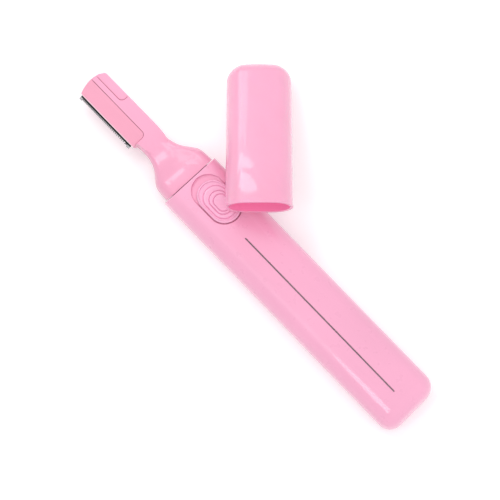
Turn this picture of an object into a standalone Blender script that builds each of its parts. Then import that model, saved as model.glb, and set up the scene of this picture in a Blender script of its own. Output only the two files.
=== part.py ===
"""Electric eyebrow trimmer, lying on its back with its cap taken off and leant on it.

Metres, +Z up. The head points to -X, the blades to -Y and the front face up. The origin is on the
flat back, on the centre line, half-way between the head's tip and the butt.
"""

import math

import bmesh
import bpy
from mathutils import Matrix, Vector

# Clearances and finish of the mesh
FIT = 0.0003
PIN_FIT = 0.00015
TRIM_FIT = 0.0001
OVERRUN = 0.002
ROOT = 0.0001
ARC_STEPS = 5
ROUND_STEPS = 20
SMOOTH_ANGLE = math.radians(35)

# Dry cell that the handle is built round
CELL_DIAMETER = 0.0103
CELL_BODY_LENGTH = 0.0435
CELL_NUB_DIAMETER = 0.0038
CELL_NUB_LENGTH = 0.001

# Handle, as thick as the cell asks and as wide as the motor, its cheeks and the strips beside it
WALL = 0.00105
MOTOR_WIDTH = 0.012
CHEEK_THICKNESS = 0.0008
STRIP_LANE = 0.00235
HANDLE_WIDTH = MOTOR_WIDTH + 2 * (FIT + CHEEK_THICKNESS + STRIP_LANE + WALL)
HANDLE_THICKNESS = CELL_DIAMETER + 2 * (FIT + WALL)
FRONT_CORNER = 0.006
BACK_CORNER = 0.0052
BUTT_CORNER = 0.0046
SHOULDER_EDGE = 0.0005
SHOULDER_SLANT = 0.2
FRONT_CROWN = 0.0003
PARTING_HEIGHT = 0.0034

# Drive: pivot, fork, eccentric pin and motor, one behind the other
PIVOT_SETBACK = 0.0098
PIVOT_RADIUS = 0.0007
PIVOT_BOSS_WALL = 0.00055
FORK_ARM = 0.007
CRANK_ARM = 0.0034
LEVER_THICKNESS = 0.0014
LEVER_HUB_RADIUS = 0.0017
LEVER_ARM_WIDTH = 0.0024
PRONG_THICKNESS = 0.0009
PRONG_HEIGHT = 0.0032
CRANK_PIN_RADIUS = 0.0006
CAM_THROW = 0.0009
CAM_PIN_RADIUS = 0.0005
CAM_PIN_LENGTH = 0.002
CAM_HUB_RADIUS = 0.002
CAM_HUB_LENGTH = 0.0018
CAM_WEB = 0.0005
CAM_GAP = 0.0005
MOTOR_LENGTH = 0.018
MOTOR_FLAT_GAP = 0.00045
MOTOR_CAN_WALL = 0.0005
MOTOR_SHAFT_RADIUS = 0.00075
BUSHING_RADIUS = 0.0016
BUSHING_LENGTH = 0.0023
BUSHING_STAND = 0.0009
ARMATURE_RADIUS = 0.0037
ARMATURE_LENGTH = 0.009
END_CAP_THICKNESS = 0.0012

# Chassis, screws and battery contacts behind the motor
SCREW_SETBACK = 0.0031
SCREW_SPREAD = 0.0056
SCREW_SHANK_RADIUS = 0.00075
SCREW_SHANK_LENGTH = 0.0066
SCREW_HEAD_RADIUS = 0.0015
SCREW_HEAD_THICKNESS = 0.0008
SCREW_RECESS_WIDTH = 0.0004
SCREW_SINK = 0.00025
BOSS_WALL = 0.00075
BULKHEAD_SETBACK = 0.004
BULKHEAD_THICKNESS = 0.0016
CHASSIS_SIDE_GAP = 0.00185
CHASSIS_WIDTH = HANDLE_WIDTH - 2 * (WALL + CHASSIS_SIDE_GAP)
CHASSIS_THICKNESS = 0.001
CHASSIS_FRONT_GAP = 0.0034
CHEEK_LENGTH = 0.012
CHEEK_HEIGHT = 0.005
RIB_THICKNESS = 0.001
STRIP_THICKNESS = 0.0003
STRIP_HEIGHT = 0.002
STRIP_WALL_GAP = 0.0008
CONTACT_BUMP_RADIUS = 0.0014
CONTACT_BUMP_HEIGHT = 0.0006
SPRING_LENGTH = 0.0041
SPRING_RADIUS = 0.0033
SPRING_TIP_RADIUS = 0.0021
SPRING_WIRE = 0.0005
SPRING_TURNS = 3.5
SPRING_POINTS_PER_TURN = 10
END_PLATE_THICKNESS = 0.0004
END_PLATE_WIDTH = 0.009

# Distances from the shoulder toward the butt
PIN_AT = PIVOT_SETBACK + FORK_ARM
CAM_AT = PIN_AT + CAM_PIN_LENGTH / 2
MOTOR_AT = CAM_AT + CAM_HUB_LENGTH + CAM_GAP + BUSHING_STAND
MOTOR_END_AT = MOTOR_AT + MOTOR_LENGTH
END_CAP_AT = MOTOR_END_AT + FIT + END_CAP_THICKNESS
SCREW_AT = END_CAP_AT + SCREW_SETBACK
BULKHEAD_AT = SCREW_AT + BULKHEAD_SETBACK
CONTACT_AT = BULKHEAD_AT + BULKHEAD_THICKNESS + FIT
CELL_AT = CONTACT_AT + STRIP_THICKNESS + CONTACT_BUMP_HEIGHT + FIT
CELL_END_AT = CELL_AT + CELL_NUB_LENGTH + CELL_BODY_LENGTH
END_PLATE_AT = CELL_END_AT + FIT + SPRING_LENGTH + FIT
HANDLE_LENGTH = END_PLATE_AT + END_PLATE_THICKNESS + FIT + WALL

# Head: a bulb at the shoulder, a neck, and a flat frame that carries the blades
BULB_LENGTH = 0.0152
NECK_LENGTH = 0.0047
FRAME_LENGTH = 0.0248
FRAME_START = BULB_LENGTH + NECK_LENGTH
HEAD_LENGTH = FRAME_START + FRAME_LENGTH
HEAD_WALL = 0.0011
BULB_STEP = 0.001
BULB_PLACE_SHARES = (0, 0.15, 0.273, 0.384, 0.48, 0.587, 0.703, 0.83, 1)
BULB_SIZE_SHARES = (1, 0.988, 0.955, 0.86, 0.66, 0.418, 0.206, 0.05, 0)
NECK_HALF_WIDTH = 0.0042
NECK_HALF_THICKNESS = 0.0032
FRAME_HALF_THICKNESS = 0.0026
FRAME_BLADE_SIDE = 0.0052
FRAME_OPEN_SIDE = 0.0044
FRAME_SHOULDER = 0.0003
TIP_SAG = 0.0009
TIP_WALL = 0.0005
BULB_EXPONENT = 2.6
FRAME_EXPONENT = 6
HEAD_RING_POINTS = 28
COLLAR_STEP = 0.0022
COLLAR_LIP = 0.0008
COLLAR_LIP_LENGTH = 0.001
STEP_LENGTH = 0.0119
STEP_INSET = 0.0028
STEP_DEPTH = 0.0006

# Blades, their plate and their drive
BLADE_LENGTH = FRAME_LENGTH - TIP_SAG - TIP_WALL - FRAME_SHOULDER - 2 * FIT
BLADE_THICKNESS = 0.00035
BLADE_ROOT = 0.0018
BLADE_LAND = 0.0061
TOOTH_DEPTH = 0.0007
TOOTH_PITCH = 0.00072
TOOTH_SHARE = 0.55
GUARD_TOOTH_WIDTH = 0.0011
GUARD_TOOTH_EXTRA = 0.0002
MOVING_BLADE_INSET = 0.0009
MOVING_TOOTH_INSET = 0.0003
PLATE_INNER = 0.00055
PLATE_OUTER = 0.00545
PLATE_EDGE_THICKNESS = 0.0005
PLATE_CORNER = 0.0016
CARRIER_THICKNESS = 0.001
CARRIER_SETBACK = 0.0005
CARRIER_LENGTH = BLADE_LENGTH - 2 * MOVING_BLADE_INSET - CARRIER_SETBACK
CARRIER_INNER = 0.0012
CARRIER_OUTER = 0.0044
ROD_WIDTH = 0.001
ROD_THICKNESS = 0.0009
ROD_OFFSET = 0.002
ROD_EYE_WALL = 0.0006
ROD_BEND = 0.004

# Switch
RECESS_START = 0.0022
RECESS_RIM = 0.0004
RECESS_LENGTH = MOTOR_AT - RECESS_START - RECESS_RIM - PIN_FIT
RECESS_WIDTH = 0.0111
RECESS_OFFSET = 0.0009
RECESS_DEPTH = 0.0011
RECESS_TAPER = 0.00015
RECESS_FLOOR = 0.0009
RECESS_POINTS = 36
SWITCH_TRAVEL = 0.002
KNOB_RISE = 0.0002
KNOB_EDGE = 0.0003
KNOB_STEP_RISES = (0.0002, 0.0004, 0.0003)
KNOB_STEP_SHARES = ((0.7, 0.78), (0.48, 0.57), (0.31, 0.37))
STEM_LENGTH = 0.004
STEM_WIDTH = 0.003
STEM_ROUND_SHARE = 0.35
CARRIAGE_LENGTH = 0.0085
CARRIAGE_WIDTH = 0.0134
CARRIAGE_THICKNESS = 0.0012
SWITCH_CONTACT_LENGTH = 0.0076
SWITCH_CONTACT_WIDTH = 0.0018
SWITCH_CONTACT_OFFSET = 0.0055
TERMINAL_OVERLAP = 0.0012

# Trim line on the front face
TRIM_START = 0.0266
TRIM_LENGTH = 0.067
TRIM_WIDTH = 0.00045
TRIM_DEPTH = 0.0003
TRIM_OFFSET = 0.0012

# Battery cover
COVER_SPLIT_SETBACK = 0.0008
COVER_TONGUE_LENGTH = 0.0024
COVER_TONGUE_WIDTH = 0.002
COVER_TONGUE_THICKNESS = 0.0006
COVER_TONGUE_OFFSET = 0.0044
GRIP_GROOVES = 4
GRIP_GROOVE_PITCH = 0.0016
GRIP_GROOVE_WIDTH = 0.0007
GRIP_GROOVE_DEPTH = 0.0003
GRIP_GROOVE_LENGTH = 0.0085
GRIP_SETBACK = 0.004

# Cap, where it lies and how it leans
CAP_LENGTH = 0.0503
CAP_CORNER = 0.005
CAP_MOUTH_X = -0.0037
CAP_MOUTH_Y = 0.0064
CAP_TURN = math.radians(136.7)
SOLVER_STEPS = 40

# Finishes: colour, roughness and metallic value
PINK = ((0.93, 0.47, 0.63), 0.32, 0)
LIGHT_PINK = ((0.95, 0.53, 0.68), 0.3, 0)
DEEP_PINK = ((0.87, 0.41, 0.57), 0.34, 0)
STEEL = ((0.62, 0.63, 0.65), 0.25, 1)
SILVER = ((0.75, 0.75, 0.77), 0.2, 1)
BRASS = ((0.8, 0.6, 0.28), 0.35, 1)
COPPER = ((0.78, 0.42, 0.24), 0.4, 1)
WHITE_PLASTIC = ((0.82, 0.82, 0.8), 0.5, 0)
DARK_PLASTIC = ((0.05, 0.05, 0.055), 0.5, 0)
CELL_JACKET = ((0.1, 0.12, 0.16), 0.35, 0)

# Places worked out from the sizes
TIP_X = -(HEAD_LENGTH + HANDLE_LENGTH) / 2
SHOULDER_X = TIP_X + HEAD_LENGTH
BUTT_X = SHOULDER_X + HANDLE_LENGTH
MID_Z = HANDLE_THICKNESS / 2
PIVOT_X = SHOULDER_X + PIVOT_SETBACK
PIN_X = SHOULDER_X + PIN_AT
CAM_X = SHOULDER_X + CAM_AT
MOTOR_X = SHOULDER_X + MOTOR_AT
MOTOR_END_X = SHOULDER_X + MOTOR_END_AT
END_CAP_X = SHOULDER_X + END_CAP_AT
SCREW_X = SHOULDER_X + SCREW_AT
BULKHEAD_X = SHOULDER_X + BULKHEAD_AT
CONTACT_X = SHOULDER_X + CONTACT_AT
CELL_X = SHOULDER_X + CELL_AT
CELL_END_X = SHOULDER_X + CELL_END_AT
END_PLATE_X = SHOULDER_X + END_PLATE_AT
COVER_X = BULKHEAD_X + COVER_SPLIT_SETBACK
INNER_TOP_Z = HANDLE_THICKNESS - WALL
INNER_SIDE_Y = HANDLE_WIDTH / 2 - WALL
CHASSIS_Z = PARTING_HEIGHT - CHASSIS_THICKNESS
RECESS_FLOOR_Z = HANDLE_THICKNESS - RECESS_DEPTH
PAN_Z = RECESS_FLOOR_Z - RECESS_FLOOR
CARRIAGE_Z = PAN_Z - FIT - CARRIAGE_THICKNESS
SWITCH_CONTACT_Z = CARRIAGE_Z - FIT - STRIP_THICKNESS
STRIP_TOP_Z = SWITCH_CONTACT_Z - FIT
STRIP_BOTTOM_Z = STRIP_TOP_Z - STRIP_HEIGHT
LEVER_Z = MID_Z - PIN_FIT
ROD_Z = LEVER_Z - FIT - ROD_THICKNESS
CARRIER_TOP_Z = MID_Z - FIT
MOVING_BLADE_Z = CARRIER_TOP_Z + FIT
FIXED_BLADE_Z = MOVING_BLADE_Z + BLADE_THICKNESS + FIT
PLATE_Z = FIXED_BLADE_Z + BLADE_THICKNESS + FIT
FRAME_X = SHOULDER_X - FRAME_START
BLADE_ROOM_X = TIP_X + TIP_SAG + TIP_WALL
BLADE_ROOM_END_X = FRAME_X - FRAME_SHOULDER
BLADE_X = BLADE_ROOM_X + FIT
KNOB_LENGTH = RECESS_LENGTH - 2 * RECESS_TAPER - 2 * FIT - SWITCH_TRAVEL
KNOB_WIDTH = RECESS_WIDTH - 2 * RECESS_TAPER - 2 * FIT
RECESS_X = SHOULDER_X + RECESS_START + RECESS_LENGTH / 2
RECESS_AT = (RECESS_X, RECESS_OFFSET)
KNOB_X = RECESS_X + SWITCH_TRAVEL / 2
KNOB_AT = (KNOB_X, RECESS_OFFSET)


def material(name, colour, roughness, metallic):
    made = bpy.data.materials.new(name)
    made.use_nodes = True
    made.diffuse_color = (*colour, 1)
    shader = made.node_tree.nodes["Principled BSDF"]
    shader.inputs["Base Color"].default_value = (*colour, 1)
    shader.inputs["Roughness"].default_value = roughness
    shader.inputs["Metallic"].default_value = metallic
    return made


def add(name, mesh, finish=None, anchor=(0, 0, 0)):
    """An object for a mesh in world places, its origin at anchor. With no finish it only serves a Boolean."""
    bmesh.ops.recalc_face_normals(mesh, faces=mesh.faces)
    bmesh.ops.translate(mesh, verts=mesh.verts, vec=-Vector(anchor))
    data = bpy.data.meshes.new(name)
    mesh.to_mesh(data)
    mesh.free()
    data.shade_smooth()
    data.set_sharp_from_angle(angle=SMOOTH_ANGLE)
    made = bpy.data.objects.new(name, data)
    made.location = anchor
    bpy.context.scene.collection.objects.link(made)
    if finish is None:
        made.hide_render = True
        made.display_type = "WIRE"
    else:
        data.materials.append(material(name, *finish))
    return made


def combine(target, other, operation="DIFFERENCE"):
    modifier = target.modifiers.new(other.name, "BOOLEAN")
    modifier.object = other
    modifier.operation = operation
    modifier.solver = "EXACT"


def loft(rings, curved_end=False):
    """A closed body through rings of as many points each. Strips from top to bottom close a curved end."""
    mesh = bmesh.new()
    rows = [[mesh.verts.new(point) for point in ring] for ring in rings]
    for first, second in zip(rows, rows[1:]):
        for i in range(len(first)):
            j = (i + 1) % len(first)
            mesh.faces.new((first[i], first[j], second[j], second[i]))
    mesh.faces.new(rows[0])
    last = rows[-1]
    if not curved_end:
        mesh.faces.new(last)
        return mesh
    count = len(last)
    for i in range(count // 2):
        corners = (last[i], last[i + 1], last[count - i - 1], last[-i])
        mesh.faces.new(dict.fromkeys(corners))
    return mesh


def prism(outline, low, high, along="Z"):
    """An outline pushed from low to high along Z, or along X with the outline in (y, z)."""
    if along == "Z":
        return loft([[(a, b, level) for a, b in outline] for level in (low, high)])
    return loft([[(level, a, b) for a, b in outline] for level in (low, high)])


def box(low, high):
    (x0, y0, z0), (x1, y1, z1) = low, high
    return prism([(x0, y0), (x1, y0), (x1, y1), (x0, y1)], z0, z1)


def circle(centre, radius, steps=ROUND_STEPS, turn=0):
    angles = [turn + math.tau * i / steps for i in range(steps)]
    return [(centre[0] + radius * math.cos(a), centre[1] + radius * math.sin(a)) for a in angles]


def rod_x(centre, radius, start, end, steps=ROUND_STEPS):
    return prism(circle(centre, radius, steps), start, end, "X")


def rod_z(centre, radius, start, end, steps=ROUND_STEPS):
    return prism(circle(centre, radius, steps), start, end)


def arc(centre, radius, start, end, steps=ARC_STEPS):
    points = []
    for i in range(steps + 1):
        angle = math.radians(start + (end - start) * i / steps)
        points.append((centre[0] + radius * math.cos(angle), centre[1] + radius * math.sin(angle)))
    return points


def oval(centre, length, width, exponent, points):
    """A superellipse in plan."""
    outline = []
    for i in range(points):
        angle = math.tau * i / points
        across, up = math.cos(angle), math.sin(angle)
        x = math.copysign(abs(across) ** (2 / exponent), across) * length / 2
        y = math.copysign(abs(up) ** (2 / exponent), up) * width / 2
        outline.append((centre[0] + x, centre[1] + y))
    return outline


def stadium(centre, length, width, round_share=1):
    """A rectangle in plan with round corners, its ends half circles when round_share is one."""
    radius = width / 2 * round_share
    quarter = RECESS_POINTS // 4
    outline = []
    for i in range(RECESS_POINTS):
        angle = math.tau * (i + 1 / 2) / RECESS_POINTS
        side_x = 1 if i // quarter in (0, 3) else -1
        side_y = 1 if i // quarter in (0, 1) else -1
        x = side_x * (length / 2 - radius) + radius * math.cos(angle)
        y = side_y * (width / 2 - radius) + radius * math.sin(angle)
        outline.append((centre[0] + x, centre[1] + y))
    return outline


def ribbon(path, thickness):
    """The outline of a strip of metal that stands on edge along a path in plan."""
    sides = ([], [])
    for i, point in enumerate(path):
        here = Vector(point)
        before = (here - Vector(path[i - 1])).normalized() if i else None
        after = (Vector(path[i + 1]) - here).normalized() if i + 1 < len(path) else None
        before = before or after
        after = after or before
        normal = Vector((-before.y - after.y, before.x + after.x)).normalized()
        reach = thickness / 2 / normal.dot(Vector((-before.y, before.x)))
        sides[0].append(tuple(here + normal * reach))
        sides[1].append(tuple(here - normal * reach))
    return sides[0] + sides[1][::-1]


def handle_section(inset):
    """The handle's cross-section in (y, z), drawn in from its outline by inset."""
    half = HANDLE_WIDTH / 2 - inset
    top = HANDLE_THICKNESS - inset
    front = max(FRONT_CORNER - inset, ROOT)
    back = max(BACK_CORNER - inset, ROOT)
    flat = half - front
    drop = FRONT_CROWN * (flat / half) ** 2
    points = arc((half - back, inset + back), back, -90, 0)
    points += arc((flat, top - drop - front), front, 0, 90)
    points += [(0, top)]
    points += arc((-flat, top - drop - front), front, 90, 180)
    points += arc((back - half, inset + back), back, 180, 270)
    return points


def slanted(points, share=1):
    """Points of a ring leant back by the slant of the shoulder, or by a share of it."""
    return [(x + share * SHOULDER_SLANT * (z - MID_Z), y, z) for x, y, z in points]


def rounded_end(place, radius, inset, direction):
    """Stations (place, inset) over an end that rounds off toward direction."""
    stations = []
    for i in range(ARC_STEPS + 1):
        angle = math.pi / 2 * i / ARC_STEPS
        reach = radius * (1 - math.sin(angle))
        stations.append((place - direction * reach, inset + radius * (1 - math.cos(angle))))
    return stations


def handle_form(skin):
    """The handle as a solid, or its hollow where skin is the wall."""
    edge = max(SHOULDER_EDGE - skin, ROOT)
    rings = []
    for x, inset in rounded_end(SHOULDER_X + skin, edge, skin, -1)[::-1]:
        rings.append(slanted([(x, y, z) for y, z in handle_section(inset)]))
    for x, inset in rounded_end(BUTT_X - skin, BUTT_CORNER - skin, skin, 1):
        rings.append([(x, y, z) for y, z in handle_section(inset)])
    return loft(rings)


def head_ring(x, low, high, half_thickness, exponent, sag=0):
    """A ring of the head from low to high across, its middle pushed toward the tip by sag."""
    middle = (low + high) / 2
    half = (high - low) / 2
    points = []
    for y, z in oval((0, 0), 2, 2, exponent, HEAD_RING_POINTS):
        points.append((x - sag * (1 - y * y), middle + half * y, MID_Z + half_thickness * z))
    return points


def head_form(skin):
    """The head as a solid, its collar inside the shoulder, or its hollow where skin is the wall."""
    bulb_width = HANDLE_WIDTH / 2 - BULB_STEP
    bulb_thickness = HANDLE_THICKNESS / 2 - BULB_STEP
    collar_width = bulb_width - COLLAR_STEP - skin
    collar_thickness = bulb_thickness - COLLAR_STEP - skin
    lip_start = SHOULDER_X + WALL + FIT
    lip_end = lip_start + COLLAR_LIP_LENGTH
    rings = []
    if skin:
        rings.append((lip_end + OVERRUN, collar_width, collar_thickness, 1))
    else:
        rings.append((lip_end, collar_width + COLLAR_LIP, collar_thickness + COLLAR_LIP / 2, 1))
        rings.append((lip_start, collar_width + COLLAR_LIP, collar_thickness + COLLAR_LIP / 2, 1))
        rings.append((lip_start, collar_width, collar_thickness, 1))
    rings.append((SHOULDER_X - FIT - skin, collar_width, collar_thickness, 1))
    for place, size in zip(BULB_PLACE_SHARES, BULB_SIZE_SHARES):
        width = NECK_HALF_WIDTH + (bulb_width - NECK_HALF_WIDTH) * size - skin
        thickness = NECK_HALF_THICKNESS + (bulb_thickness - NECK_HALF_THICKNESS) * size - skin
        rings.append((SHOULDER_X - FIT - skin - BULB_LENGTH * place, width, thickness, size))
    points = []
    for x, half, thickness, slant_share in rings:
        points.append(slanted(head_ring(x, -half, half, thickness, BULB_EXPONENT), slant_share))
    thin = FRAME_HALF_THICKNESS - skin
    low, high = -NECK_HALF_WIDTH + skin, FRAME_OPEN_SIDE - skin
    points.append(head_ring(FRAME_X, low, high, thin, FRAME_EXPONENT))
    if skin:
        return loft(points)
    blade_side = -FRAME_BLADE_SIDE
    points.append(head_ring(FRAME_X - FRAME_SHOULDER / 2, blade_side, high, thin, FRAME_EXPONENT))
    points.append(head_ring(TIP_X + 3 * TIP_SAG, blade_side, high, thin, FRAME_EXPONENT))
    points.append(head_ring(TIP_X + TIP_SAG, blade_side, high, thin, FRAME_EXPONENT, TIP_SAG))
    return loft(points, curved_end=True)


def far(x=0, y=0, z=0):
    """A corner clear of the whole object on each side that is given a sign."""
    reach = HEAD_LENGTH + HANDLE_LENGTH
    return (x * reach, y * reach, z * reach)


def cut_shell_features(shell):
    """What the head's collar and the screws take out of either casing."""
    width = HANDLE_WIDTH - 2 * (BULB_STEP + COLLAR_STEP - FIT)
    height = HANDLE_THICKNESS - 2 * (BULB_STEP + COLLAR_STEP - FIT)
    hole = oval((0, MID_Z), width, height, BULB_EXPONENT, HEAD_RING_POINTS)
    start, end = SHOULDER_X - OVERRUN, SHOULDER_X + OVERRUN
    combine(shell, add(shell.name + "_collar_hole", prism(hole, start, end, "X")))
    top = screw_base() + SCREW_SHANK_LENGTH + FIT
    for side in (-1, 1):
        centre = (SCREW_X, side * SCREW_SPREAD)
        hole = rod_z(centre, SCREW_SHANK_RADIUS + PIN_FIT, -OVERRUN, top)
        combine(shell, add(f"{shell.name}_screw_hole_{side}", hole))


def screw_base():
    """The height at which a screw's shank leaves its head."""
    return SCREW_SINK + SCREW_HEAD_THICKNESS


def make_front_shell():
    shell = add("front_shell", handle_form(0), PINK)
    combine(shell, add("front_hollow", handle_form(WALL)))
    far_x, far_y, _ = far(1, 1)
    under = box((-far_x, -far_y, -far_x), (far_x, far_y, PARTING_HEIGHT + FIT / 2))
    combine(shell, add("front_parting", under))
    pan_length = RECESS_LENGTH + 2 * RECESS_RIM
    pan_width = RECESS_WIDTH + 2 * RECESS_RIM
    pan = stadium(RECESS_AT, pan_length, pan_width)
    combine(shell, add("recess_pan", prism(pan, PAN_Z, INNER_TOP_Z + WALL / 3)), "UNION")
    for side in (-1, 1):
        centre = (SCREW_X, side * SCREW_SPREAD)
        radius = SCREW_SHANK_RADIUS + PIN_FIT + BOSS_WALL
        boss = rod_z(centre, radius, PARTING_HEIGHT + FIT, INNER_TOP_Z + ROOT)
        combine(shell, add(f"front_boss_{side}", boss), "UNION")
    combine(shell, add("switch_recess", recess_cutter()))
    slot_length = STEM_LENGTH + SWITCH_TRAVEL + 2 * FIT
    slot = stadium(RECESS_AT, slot_length, STEM_WIDTH + 2 * FIT, STEM_ROUND_SHARE)
    combine(shell, add("stem_slot", prism(slot, PAN_Z - OVERRUN, RECESS_FLOOR_Z + OVERRUN)))
    half = TRIM_WIDTH / 2 + TRIM_FIT
    end = trim_start() + TRIM_LENGTH
    low = (trim_start() - TRIM_FIT, -TRIM_OFFSET - half, HANDLE_THICKNESS - TRIM_DEPTH)
    high = (end + TRIM_FIT, half - TRIM_OFFSET, HANDLE_THICKNESS + OVERRUN)
    combine(shell, add("trim_groove", box(low, high)))
    cut_shell_features(shell)


def recess_cutter():
    """The long recess with round ends that the switch slides in."""
    floor_length = RECESS_LENGTH - 2 * RECESS_TAPER
    floor_width = RECESS_WIDTH - 2 * RECESS_TAPER
    floor = stadium(RECESS_AT, floor_length, floor_width)
    rim = stadium(RECESS_AT, RECESS_LENGTH, RECESS_WIDTH)
    rings = [[(x, y, RECESS_FLOOR_Z) for x, y in floor]]
    for level in (HANDLE_THICKNESS, HANDLE_THICKNESS + OVERRUN):
        rings.append([(x, y, level) for x, y in rim])
    return loft(rings)


def trim_start():
    return SHOULDER_X + TRIM_START


def make_trim_line():
    low = (trim_start(), -TRIM_OFFSET - TRIM_WIDTH / 2, HANDLE_THICKNESS - TRIM_DEPTH + TRIM_FIT)
    high = (trim_start() + TRIM_LENGTH, TRIM_WIDTH / 2 - TRIM_OFFSET, HANDLE_THICKNESS)
    add("trim_line", box(low, high), SILVER)


def make_back_shell():
    shell = add("back_shell", handle_form(0), PINK)
    combine(shell, add("back_hollow", handle_form(WALL)))
    far_x, far_y, far_z = far(1, 1, 1)
    above = box((-far_x, -far_y, PARTING_HEIGHT - FIT / 2), (far_x, far_y, far_z))
    combine(shell, add("back_parting", above))
    behind = box((COVER_X - FIT / 2, -far_y, -far_z), (far_x, far_y, far_z))
    combine(shell, add("back_end", behind))
    for side in (-1, 1):
        centre = (SCREW_X, side * SCREW_SPREAD)
        radius = SCREW_HEAD_RADIUS + PIN_FIT + BOSS_WALL / 2
        boss = rod_z(centre, radius, WALL / 2, CHASSIS_Z - FIT)
        combine(shell, add(f"back_boss_{side}", boss), "UNION")
    half = CHASSIS_WIDTH / 2 - BACK_CORNER / 2
    for number, x in enumerate((PIVOT_X - PIVOT_SETBACK / 3, MOTOR_X, MOTOR_END_X), 1):
        rib = box((x - RIB_THICKNESS / 2, -half, WALL / 2), (x + RIB_THICKNESS / 2, half, rib_top(x)))
        combine(shell, add(f"chassis_rib_{number}", rib), "UNION")
    for side in (-1, 1):
        centre = (SCREW_X, side * SCREW_SPREAD)
        sink = rod_z(centre, SCREW_HEAD_RADIUS + PIN_FIT, -OVERRUN, screw_base() + PIN_FIT)
        combine(shell, add(f"screw_sink_{side}", sink))
    cut_shell_features(shell)


def rib_top(x):
    """Ribs under the motor stop below it, and the others below the chassis."""
    if x < MOTOR_X:
        return CHASSIS_Z - FIT
    return WALL + MOTOR_FLAT_GAP - FIT


def make_battery_cover():
    cover = add("battery_cover", handle_form(0), PINK)
    combine(cover, add("cover_hollow", handle_form(WALL)))
    far_x, far_y, far_z = far(1, 1, 1)
    above = box((-far_x, -far_y, PARTING_HEIGHT - FIT / 2), (far_x, far_y, far_z))
    combine(cover, add("cover_parting", above))
    ahead = box((-far_x, -far_y, -far_z), (COVER_X + FIT / 2, far_y, far_z))
    combine(cover, add("cover_front", ahead))
    tongue_z = WALL + FIT
    for side in (-1, 1):
        y = side * COVER_TONGUE_OFFSET
        low, high = y - COVER_TONGUE_WIDTH / 2, y + COVER_TONGUE_WIDTH / 2
        root = COVER_X + FIT / 2 + COVER_TONGUE_WIDTH
        front, neck = COVER_X - COVER_TONGUE_LENGTH, COVER_X + FIT
        top = tongue_z + COVER_TONGUE_THICKNESS
        foot = WALL / 2
        side_view = [(front, tongue_z), (neck, tongue_z), (neck, foot)]
        side_view += [(root, foot), (root, top), (front, top)]
        tongue = loft([[(x, y_at, z) for x, z in side_view] for y_at in (low, high)])
        combine(cover, add(f"cover_tongue_{side}", tongue), "UNION")
    for i in range(GRIP_GROOVES):
        x = COVER_X + GRIP_SETBACK + i * GRIP_GROOVE_PITCH
        half = GRIP_GROOVE_LENGTH / 2
        groove = box((x, -half, -OVERRUN), (x + GRIP_GROOVE_WIDTH, half, GRIP_GROOVE_DEPTH))
        combine(cover, add(f"grip_groove_{i}", groove))


def make_screws():
    for number, side in enumerate((-1, 1), 1):
        centre = (SCREW_X, side * SCREW_SPREAD)
        head = rod_z(centre, SCREW_HEAD_RADIUS, SCREW_SINK, screw_base())
        screw = add(f"case_screw_{number}", head, STEEL)
        shank = rod_z(centre, SCREW_SHANK_RADIUS, screw_base() - ROOT, screw_base() + SCREW_SHANK_LENGTH)
        combine(screw, add(f"screw_shank_{number}", shank), "UNION")
        reach, half = SCREW_HEAD_RADIUS * 2 / 3, SCREW_RECESS_WIDTH / 2
        depth = SCREW_SINK + SCREW_HEAD_THICKNESS / 2
        x, y = centre
        for name, across, along in (("long", reach, half), ("cross", half, reach)):
            slot = box((x - across, y - along, -OVERRUN), (x + across, y + along, depth))
            combine(screw, add(f"screw_slot_{name}_{number}", slot))


def make_chassis():
    front = SHOULDER_X + CHASSIS_FRONT_GAP
    half = CHASSIS_WIDTH / 2
    low = (front, -half, CHASSIS_Z)
    high = (BULKHEAD_X + BULKHEAD_THICKNESS, half, CHASSIS_Z + CHASSIS_THICKNESS)
    chassis = add("chassis", box(low, high), WHITE_PLASTIC)
    window_half = MOTOR_WIDTH / 2 + FIT
    window = box((MOTOR_X - FIT, -window_half, -OVERRUN), (END_CAP_X + FIT, window_half, MID_Z))
    combine(chassis, add("motor_window", window))
    wall_half = HANDLE_WIDTH / 2 - FRONT_CORNER
    low = (BULKHEAD_X, -wall_half, CHASSIS_Z)
    high = (BULKHEAD_X + BULKHEAD_THICKNESS, wall_half, INNER_TOP_Z - FRONT_CROWN - FIT)
    bulkhead = box(low, high)
    combine(chassis, add("bulkhead", bulkhead), "UNION")
    floor = CHASSIS_Z + CHASSIS_THICKNESS / 2
    cheek_x = (MOTOR_X + MOTOR_END_X - CHEEK_LENGTH) / 2
    for side in (-1, 1):
        inner, outer = sorted((side * window_half, side * (window_half + CHEEK_THICKNESS)))
        cheek = box((cheek_x, inner, floor), (cheek_x + CHEEK_LENGTH, outer, CHASSIS_Z + CHEEK_HEIGHT))
        combine(chassis, add(f"motor_cheek_{side}", cheek), "UNION")
        centre = (SCREW_X, side * SCREW_SPREAD)
        hole = rod_z(centre, SCREW_SHANK_RADIUS + FIT, -OVERRUN, PARTING_HEIGHT + OVERRUN)
        combine(chassis, add(f"chassis_screw_hole_{side}", hole))
    boss = rod_z((PIVOT_X, 0), PIVOT_RADIUS + PIN_FIT + PIVOT_BOSS_WALL, floor, LEVER_Z - FIT)
    combine(chassis, add("pivot_boss", boss), "UNION")
    bore = rod_z((PIVOT_X, 0), PIVOT_RADIUS + PIN_FIT, floor, MID_Z)
    combine(chassis, add("pivot_bore", bore))


def make_pivot_pin():
    start = CHASSIS_Z + CHASSIS_THICKNESS / 2 + PIN_FIT
    end = LEVER_Z + LEVER_THICKNESS + FIT
    add("lever_pivot_pin", rod_z((PIVOT_X, 0), PIVOT_RADIUS, start, end), STEEL)


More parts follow.
